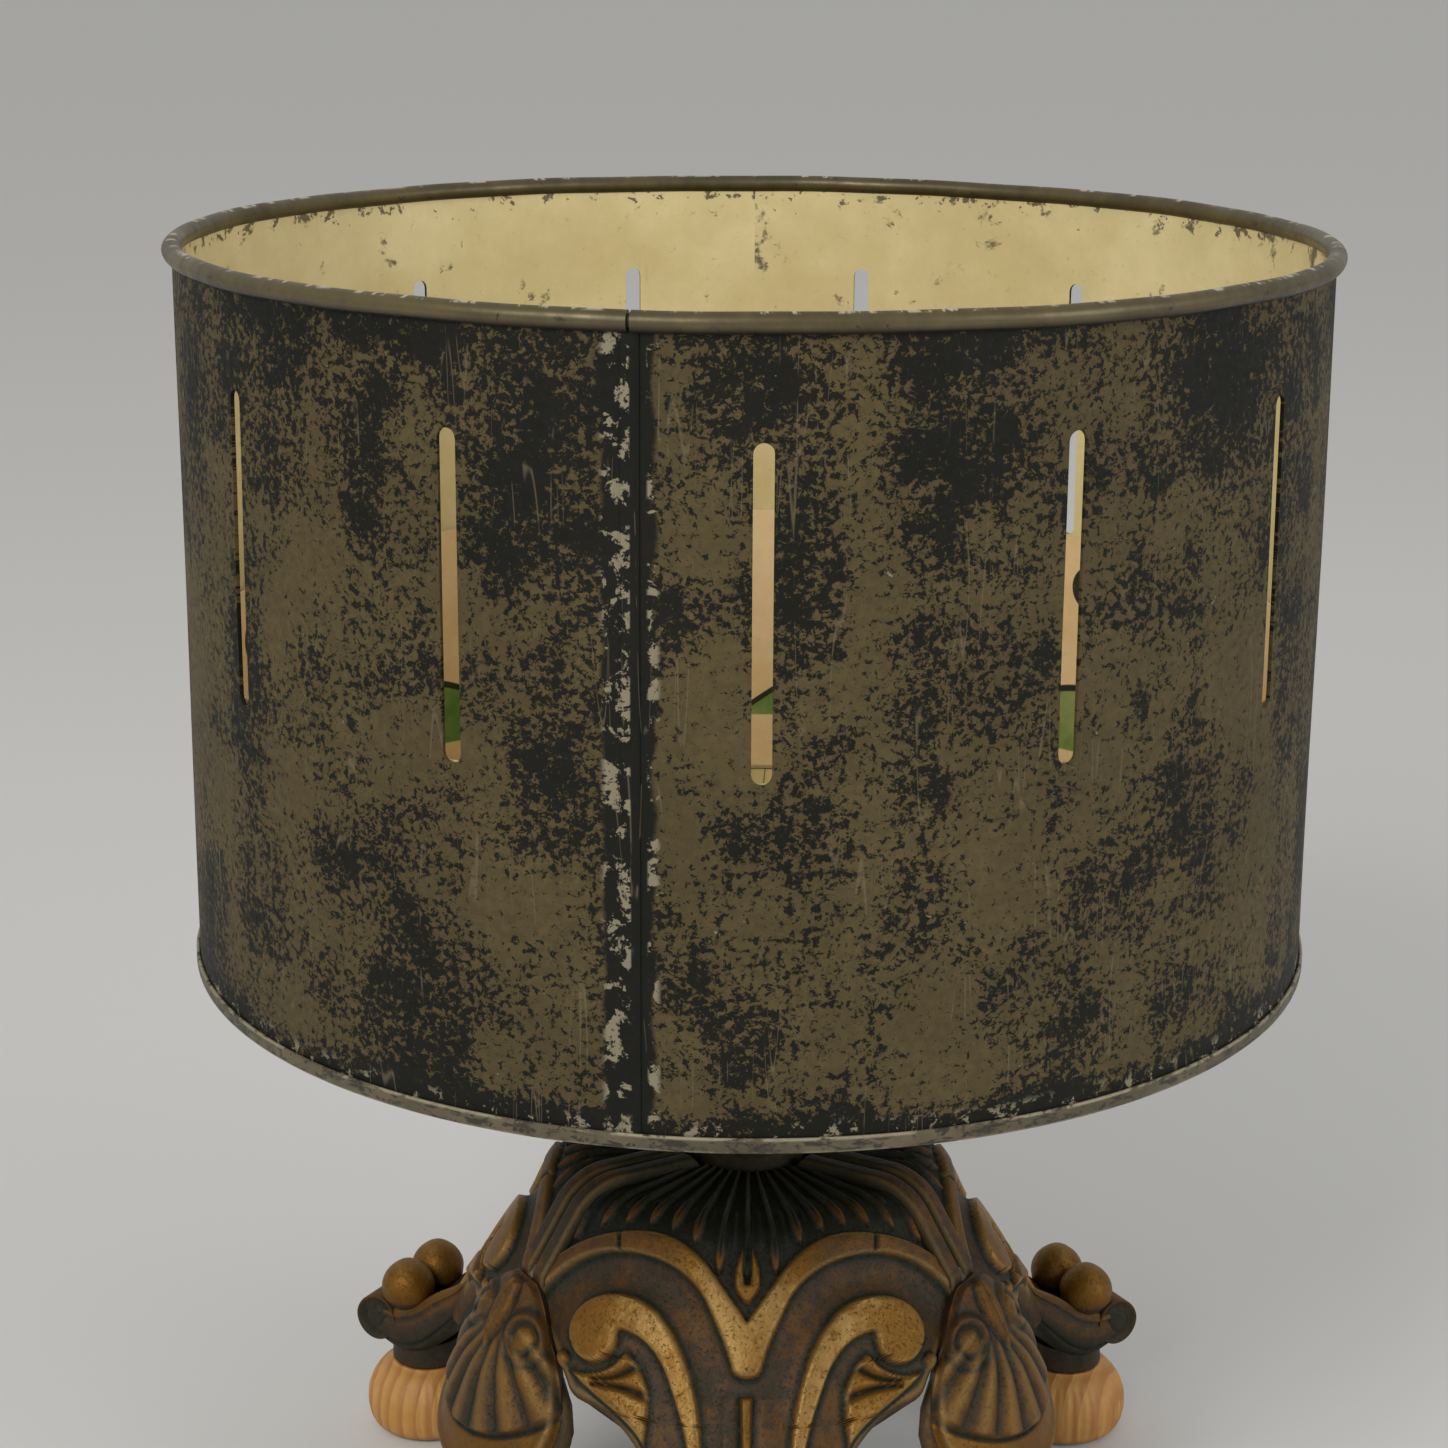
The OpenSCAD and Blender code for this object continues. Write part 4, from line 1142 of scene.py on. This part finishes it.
def toe_body():
    """The toe: a trough with rolled rims, sweeping down from the leg to its curled tip."""
    stations, ring = 70, 72
    shares = np.linspace(0, 1, stations)
    top, low = along(TOE_TOP, shares), along(TOE_LOW, shares)
    wide = np.interp(top[:, 0], TOE_SIDE[:, 0], TOE_SIDE[:, 1])
    up = top - low
    tall = np.hypot(up[:, 0], up[:, 1])
    up /= tall[:, None]
    angle = np.linspace(0, 2 * math.pi, ring, endpoint=False)
    cx, cy = np.cos(angle), np.sin(angle)
    box_x = np.sign(cx) * np.abs(cx) ** 0.42
    box_y = np.sign(cy) * np.abs(cy) ** 0.42
    points, tone, rub = [], [], []
    for k in range(stations):
        depth = step(shares[k], 0.1, 0.35)
        trough = np.where(cy > 0, -2.2 * depth * peak(box_x, 0.5), 0)
        rim = np.where(cy > 0, 0.9 * depth * peak(np.abs(box_x), 0.13, 0.83), 0)
        belly = np.where(cy < 0, 1.2 * (1 - box_x ** 2) * depth, 0)
        h = (box_y + 1) / 2 * tall[k] + trough + rim - belly
        place = low[k] + up[k] * h[:, None]
        flute = peak(cy, 0.10, 0.22) + peak(cy, 0.10, -0.28)
        side = wide[k] * box_x - np.sign(cx) * 0.8 * depth * flute * (np.abs(cx) > 0.5)
        points.append(np.stack([side, -place[:, 0], place[:, 1]], 1))
        # painted light: the top of the toe gets a lighter tone than its underside, which darkens
        # further towards the bottom, with a shaded middle in the trough; the top rims get more tone
        # and rub as a painted highlight, the rub also standing for worn gilt
        painted_light = np.where(cy > 0, 0.46 - 0.14 * peak(box_x, 0.4),
                       0.2 + 0.14 * step(box_y, -1, 0.6))
        tone.append(painted_light + 0.14 * peak(np.abs(box_x), 0.12, 0.85) * (cy > 0)
                    - 0.16 * depth * flute)
        rub.append(0.35 * peak(np.abs(box_x), 0.07, 0.83) * (cy > 0))
    faces = []
    for k in range(stations - 1):
        for n in range(ring):
            a, b = k * ring + n, k * ring + (n + 1) % ring
            faces.append([a, b, b + ring, a + ring])
    faces.append(list(range(ring))[::-1])
    faces.append([(stations - 1) * ring + n for n in range(ring)])
    toe = from_points("toe", np.vstack(points), faces)
    outward(toe)
    attribute(toe, "tone", np.concatenate(tone))
    attribute(toe, "rubbed", np.concatenate(rub))
    return toe


def shade_part(piece, tone, rub=0.0):
    """Tone and rub for a part, from numbers or from functions of its points."""
    points = points_of(piece)
    for name, value in (("tone", tone), ("rubbed", rub)):
        attribute(piece, name, value(points) if callable(value) else np.full(len(points), value))
    return piece


def toe_curl():
    """The rolled tip, with a sunk eye and a boss at both ends."""
    deselect()
    half = toe_w / 2 + 0.2
    bpy.ops.mesh.primitive_cylinder_add(vertices=64, radius=curl_r * MM, depth=half * 2 * MM,
                                        location=(0, -curl_at[0] * MM, curl_at[1] * MM),
                                        rotation=(0, math.pi / 2, 0))
    curl = added("curl")
    for inset, sink in ((1.5, -1.1), (1.6, 0.0), (0.9, 0.8), (1.0, 0.3)):
        pick_faces(curl, lambda c, n: abs(n.x) > 0.9 and abs(c.x) > half - 1.6 and len(c) == 3
                   and math.hypot(c.y + curl_at[0], c.z - curl_at[1]) < 0.5)
        bpy.ops.mesh.inset(thickness=inset * MM, depth=sink * MM)
        finish_edit()
    soften(curl, 0.45, 3)
    points = points_of(curl)
    points[:, 0] *= 1 - 0.05 * step(points[:, 2], curl_at[1], curl_at[1] + curl_r)
    put_points(curl, points)

    def tone(points):
        rim = np.hypot(points[:, 1] + curl_at[0], points[:, 2] - curl_at[1])
        return 0.2 + 0.32 * step(rim, curl_r - 1.8, curl_r - 0.2) * step(points[:, 2], 30, 39)

    return shade_part(curl, tone)


def toe_berry(side):
    """A berry seated in the trough in a thin cup."""
    deselect()
    place = (side * berry_apart, -berry_at[0], berry_at[1])
    bpy.ops.mesh.primitive_uv_sphere_add(segments=48, ring_count=28, radius=berry_r * MM,
                                         location=[v * MM for v in place])
    berry = added("berry")
    points = points_of(berry)
    local = points - place
    tall = local[:, 2] / berry_r
    local[:, :2] *= (1 + 0.02 * np.cos(3 * tall))[:, None]
    local[:, 2] += 0.35 * step(tall, 0.8, 1.0)
    ring = peak(tall, 0.08, -0.35)
    local *= (1 + 0.035 * ring)[:, None]
    put_points(berry, place + local)
    # painted shading: the tone rises with height, so the berry's lower half is darker than its top
    return shade_part(berry, lambda p: 0.38 + 0.46 * step(p[:, 2], berry_at[1] - 6, berry_at[1] + 1),
                      lambda p: 0.3 * step(p[:, 2], berry_at[1] + 5, berry_at[1] + berry_r))


def foot_pad():
    """The round pad under the toe that stands on the bun foot."""
    seat, top = foot_h + 0.05, foot_h + 8
    profile = [(2.3, seat)] + arc((9.9, seat + 1.1), 1.1, -90, 0, 4) + [(10.6, top), (2.3, top)]
    pad = spun("pad", profile, 64, (0, -foot_circle_r))
    return shade_part(pad, 0.3)


def carved_legs():
    """The front leg, and copies turned to the two other places."""
    parts = [leg_skin(), toe_body(), toe_curl(), toe_berry(-1), toe_berry(1), foot_pad()]
    leg = joined(parts, "carved_leg_front")
    dress(leg, "bronze")
    smooth(leg, 50)
    legs = {"front": leg, "right": turned_copy(leg, "carved_leg_right", third),
            "left": turned_copy(leg, "carved_leg_left", -third)}
    for side, piece in legs.items():
        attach(piece, "base")
        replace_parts(piece, "leg_" + side)


def leaf_radius(z):
    """Radius of the leaf's shell about its own upright axis."""
    line = path(curve((21, 97), (27, 88), (33, 78), (37, 68)),
                curve((37, 68), (40.5, 59), (43.5, 50), (43.8, 36)), (43.8, 36))[::-1]
    return np.interp(z, line[:, 1], line[:, 0])


def leaf_place(across, drop, off=0.0):
    """Points of the leaf's shell under the given flank coordinates."""
    low, high = np.full(across.shape, 36.0), np.full(across.shape, 99.0)
    for _ in range(40):
        z = (low + high) / 2
        reach = np.sqrt(np.clip(leaf_radius(z) ** 2 - across ** 2, 4, None))
        further = ((leaf_axis_r + reach) * math.cos(flank_angle)
                   + (crown_z - z) * math.sin(flank_angle)) > drop
        low, high = np.where(further, z, low), np.where(further, high, z)
    reach = np.sqrt(np.clip(leaf_radius(z) ** 2 - across ** 2, 4, None))
    skin = np.stack([across, -(leaf_axis_r + reach), z], -1)
    slope = leaf_radius(z - 0.5) - leaf_radius(z + 0.5)
    size = np.sqrt(across ** 2 + reach ** 2)
    normal = np.stack([across / size, -reach / size, slope], -1)
    normal /= np.linalg.norm(normal, axis=-1, keepdims=True)
    return skin + normal * off, normal


def leaf_relief(flat):
    """A fluted palmette with a top petal, two curls and a plain raised border."""
    x, y = np.abs(flat[:, 0]), flat[:, 1]
    depth = inside(flat, closed(LEAF))
    root = 66.0
    away = np.hypot(flat[:, 0], y - root)
    swing = np.degrees(np.arctan2(flat[:, 0], y - root))
    reach = 35.0 - 3.0 * (swing / 70) ** 2
    fan = step(-np.abs(swing), -80, -72) * step(away, 9, 12) * step(reach - away, 0, 1.2)
    flute = np.abs(np.cos(np.radians(swing * 10))) ** 0.7
    height = 1.7 * flute * fan * step(away, 10, 20)
    groove = peak(away - reach, 0.55, 0.6) * step(-np.abs(swing), -76, -68)
    petal = inside(flat, closed(path(
        (0, 57.6), curve((2.4, 59.5), (5, 66), (4.2, 72), (0, 79.5)), (0, 79.5))))
    face_p = raised(petal, 1.7, 1.6) - 0.7 * peak(flat[:, 0], 0.4) * (petal > 1.0)
    curl_x, curl_y = x - 12.4, y - 70.5
    from_curl = np.hypot(curl_x, curl_y)
    ring = peak(from_curl, 1.2, 5.6)
    from_eye = np.hypot(curl_x, curl_y / np.where(curl_y > 0, 1.5, 1.0))
    eye = np.sqrt(np.clip(1 - (from_eye / 3.2) ** 2, 0, 1))
    border = peak(depth, 1.5, 2.4) * step(y, 66, 76)
    height = np.maximum.reduce([height, 1.5 * ring, 1.4 * eye, 0.9 * border, face_p])
    height = height - 0.9 * groove
    height = height - 1.8 * (1 - step(depth, 0, 1.8))
    tone = 0.47 + 0.11 * flute * fan - 0.34 * (1 - flute) * fan
    tone = np.where(away > reach + 1.0, 0.66, tone)
    tone = np.where(petal > 0.3, 0.55, tone)
    tone = np.where(eye > 0.2, 0.6, tone)
    dark = np.maximum.reduce([groove, peak(from_curl, 0.55, 3.9),
                              peak(from_curl, 0.7, 7.6) * 0.7,
                              peak(petal, 0.5, -0.5) * 0.8])
    tone = tone - 0.5 * dark * (depth > 1)
    rub = 0.5 * peak(depth, 0.6, 1.9) * step(y, 74, 84) + 0.25 * flute ** 8 * fan
    return height, np.clip(tone, 0, 1), np.clip(rub, 0, 1)


def leaf_part(name, outline, off, relief, rows, thick):
    """A part of the leaf between its outline's sides, row by row down the slope."""
    columns = rows
    low, high = outline[0, 1] + 0.15, outline[-1, 1] - 0.15
    ease = (1 - np.cos(np.linspace(0, math.pi, rows))) / 2
    drop = low + (high - low) * ease
    half = np.interp(drop, outline[:, 1], outline[:, 0])
    across = half[:, None] * np.linspace(-1, 1, columns)[None, :]
    drops = np.repeat(drop[:, None], columns, 1)
    skin, normal = leaf_place(across, drops, off)
    flat = np.stack([across.ravel(), drops.ravel()], 1)
    height, tone, rub = relief(flat)
    top = skin + normal * height.reshape(rows, columns, 1)
    return closed_shell(name, top, skin - normal * thick, tone, rub, 0.16)


def leaf_backing_relief(flat):
    depth = inside(flat, closed(LEAF_BACK))
    height = -1.6 * (1 - step(depth, 0, 1.6))
    return height, np.full(len(flat), 0.36), 0.2 * peak(depth, 0.6, 1.2)


def strap_part():
    """Two rounded ridges with a groove between them, running down over the joint."""
    rows, columns = 145, 49
    run = np.linspace(-(crown_r - neck_foot_r - 1.8), shoulder_run + 25.0, rows)
    radius, height, slope = dome(run)
    x = np.linspace(-strap_w / 2, strap_w / 2, columns)
    far = np.sqrt(radius[:, None] ** 2 - x[None, :] ** 2)
    across = np.repeat(x[None, :], rows, 0)
    turn = np.arctan2(across, far)
    height, slope = (np.repeat(v[:, None], columns, 1) for v in (height, slope))
    skin = np.stack([across, -far, height], -1)
    normal = dome_normal(turn, slope)
    ridge = np.sqrt(np.clip(1 - ((np.abs(x) - 3.55) / 2.95) ** 4, 0, 1))
    lift = 0.5 + (strap_t - 0.5) * ridge
    lift = np.where(np.abs(x) < 0.7, 1.0, lift)
    start, end = step(run - run[0], 0, 3.0), step(run[-1] - run, 0, 6.0)
    lift = lift[None, :] * np.minimum(start, end)[:, None]
    top = skin + normal * (0.15 + lift)[..., None]
    # painted shadow: on the crown, under the drum, the strap's tone and rub are cut to 30 %, for the
    # drum's shadow
    painted_light = 0.3 + 0.7 * step(run, -6.0, 4.0)
    tone = np.repeat((0.22 + 0.22 * ridge ** 2)[None, :], rows, 0) * painted_light[:, None]
    corner_rub = peak(np.abs(np.abs(x) - 3.55), 0.5, 2.3)
    rub = np.repeat((0.3 * corner_rub)[None, :], rows, 0) * painted_light[:, None]
    return closed_shell("strap", top, skin + normal * 0.1, tone, rub, 0.2)


def strap_leaves():
    """The strap-and-leaf casting over each joint, made at the front and turned to its place."""
    leaf = leaf_part("leaf", LEAF, 0.0, leaf_relief, 161, leaf_t)
    back = leaf_part("backing", LEAF_BACK, -2.0, leaf_backing_relief, 81, leaf_t - 2.0)
    first = joined([strap_part(), leaf, back], "strap_leaf")
    dress(first, "bronze")
    smooth(first, 50)
    for side, turn in (("right", third / 2), ("back", third * 1.5), ("left", -third / 2)):
        piece = turned_copy(first, "strap_leaf_" + side, turn)
        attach(piece, "base")
        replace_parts(piece, "strap_" + side)
    bpy.data.objects.remove(first)


def bun_feet():
    """Turned bun feet with a shallow ring, lightly fluted round the middle."""
    edge = [(2.25, 5), (4.9, 5), (4.9, 0.6), (5.5, 0), (foot_r - 6, 0)]
    edge += curve((foot_r - 4.5, 0.3), (foot_r - 0.5, 2), (foot_r, 6), (foot_r, 9.5), 8).tolist()
    edge += curve((foot_r, 9.5), (foot_r, 15), (foot_r - 3.5, foot_h - 2.2),
                  (11.6, foot_h - 0.6)).tolist()
    edge += [(11.6, foot_h - 0.6), (11, foot_h), (2.25, foot_h)]
    first = spun("bun", edge, 160, (0, -foot_circle_r))
    points = points_of(first)
    dx, dy = points[:, 0], points[:, 1] + foot_circle_r
    r = np.hypot(dx, dy)
    turn = np.arctan2(dy, dx)
    flute = (np.abs(np.sin(20 * turn)) - 0.64) * 0.42
    body = (step(r, foot_r - 7, foot_r - 2) * step(points[:, 2], 1.0, 5.0)
            * step(-points[:, 2], -foot_h + 1, -foot_h + 5))
    grow = 1 + (flute - 0.25) * body / np.maximum(r, 1)
    points[:, 0], points[:, 1] = dx * grow, dy * grow - foot_circle_r
    put_points(first, points)
    dress(first, "wood")
    smooth(first, 45)
    for side, turn in (("front", 0.0), ("right", third), ("left", -third)):
        piece = turned_copy(first, "turned_foot_" + side, turn)
        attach(piece, "base")
        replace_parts(piece, "bun_foot_" + side)
    bpy.data.objects.remove(first)


# ---------------------------------------------------------- frame's nodes

KEPT = {
    "rim_wire": "iron", "floor_plate": "floor", "hub_flange": "iron", "hub_rivets": "steel",
    "hub_bush": "brass", "spindle": "steel", "thrust_washer": "brass", "top_washer": "brass",
    "spindle_nut": "brass", "neck_pillar": "iron", "clamp_plate": "iron", "bottom_washer": "steel",
    "bottom_nut": "steel", "joint_cleats": "iron", "joint_screws": "steel", "foot_screws": "steel",
}


def dress_kept_nodes():
    for name, finish in KEPT.items():
        dress(nodes[name], finish)


# ------------------------------------------------------ camera and lights


def camera():
    """The photograph's view: a long lens a little above the drum's rim."""
    data = bpy.data.cameras.new("view")
    data.lens, data.sensor_width = 72.56, 36.0
    data.shift_x, data.shift_y = -0.0252, -0.0641
    data.clip_start, data.clip_end = 0.01, 100.0
    made = bpy.data.objects.new("view", data)
    made.location = (0.0, -0.76594, 0.4644)
    pitch, yaw, roll = 0.250, 0.003, 0.008
    ahead = Vector((math.sin(yaw) * math.cos(pitch), math.cos(yaw) * math.cos(pitch),
                    -math.sin(pitch)))
    right = ahead.cross(Vector((0, 0, 1))).normalized()
    up = right.cross(ahead)
    turned_right = math.cos(roll) * right + math.sin(roll) * up
    turned_up = -math.sin(roll) * right + math.cos(roll) * up
    basis = Matrix((turned_right, turned_up, -ahead)).transposed()
    made.rotation_mode = "QUATERNION"
    made.rotation_quaternion = basis.to_quaternion()
    bpy.context.scene.collection.objects.link(made)
    bpy.context.scene.camera = made


def lamp(name, place, aim, size, power, colour=(1.0, 1.0, 1.0)):
    data = bpy.data.lights.new(name, "AREA")
    data.shape, data.size, data.energy, data.color = "DISK", size, power, colour
    made = bpy.data.objects.new(name, data)
    made.location = place
    made.rotation_euler = (Vector(aim) - Vector(place)).to_track_quat("-Z", "Y").to_euler()
    bpy.context.scene.collection.objects.link(made)


def studio():
    scene = bpy.context.scene
    scene.view_settings.view_transform = "Standard"
    world = bpy.data.worlds.new("studio")
    world.use_nodes = True
    world.node_tree.nodes["Background"].inputs["Color"].default_value = (1.0, 0.99, 0.97, 1.0)
    world.node_tree.nodes["Background"].inputs["Strength"].default_value = 0.5
    scene.world = world
    lamp("key", (-0.9, -1.6, 1.5), (0, 0, 0.2), 1.0, 24.0, (1.0, 0.98, 0.94))
    lamp("fill", (1.6, -0.9, 0.9), (0, 0, 0.2), 1.2, 10.0)
    deselect()
    bpy.ops.mesh.primitive_plane_add(size=60, location=(0, 0, 0))
    floor = added("studio_floor")
    made = bpy.data.materials.new("pale studio floor")
    made.use_nodes = True
    shader = made.node_tree.nodes["Principled BSDF"]
    shader.inputs["Base Color"].default_value = (0.72, 0.72, 0.71, 1.0)
    shader.inputs["Roughness"].default_value = 0.9
    floor.data.materials.append(made)


camera()
studio()
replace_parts(tin_wall(), "drum_wall")
rolled_rim()
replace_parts(floor_pan(), "drum_floor")
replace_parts(paper_band(), "picture_strip")
carved_legs()
strap_leaves()
bun_feet()
dress_kept_nodes()
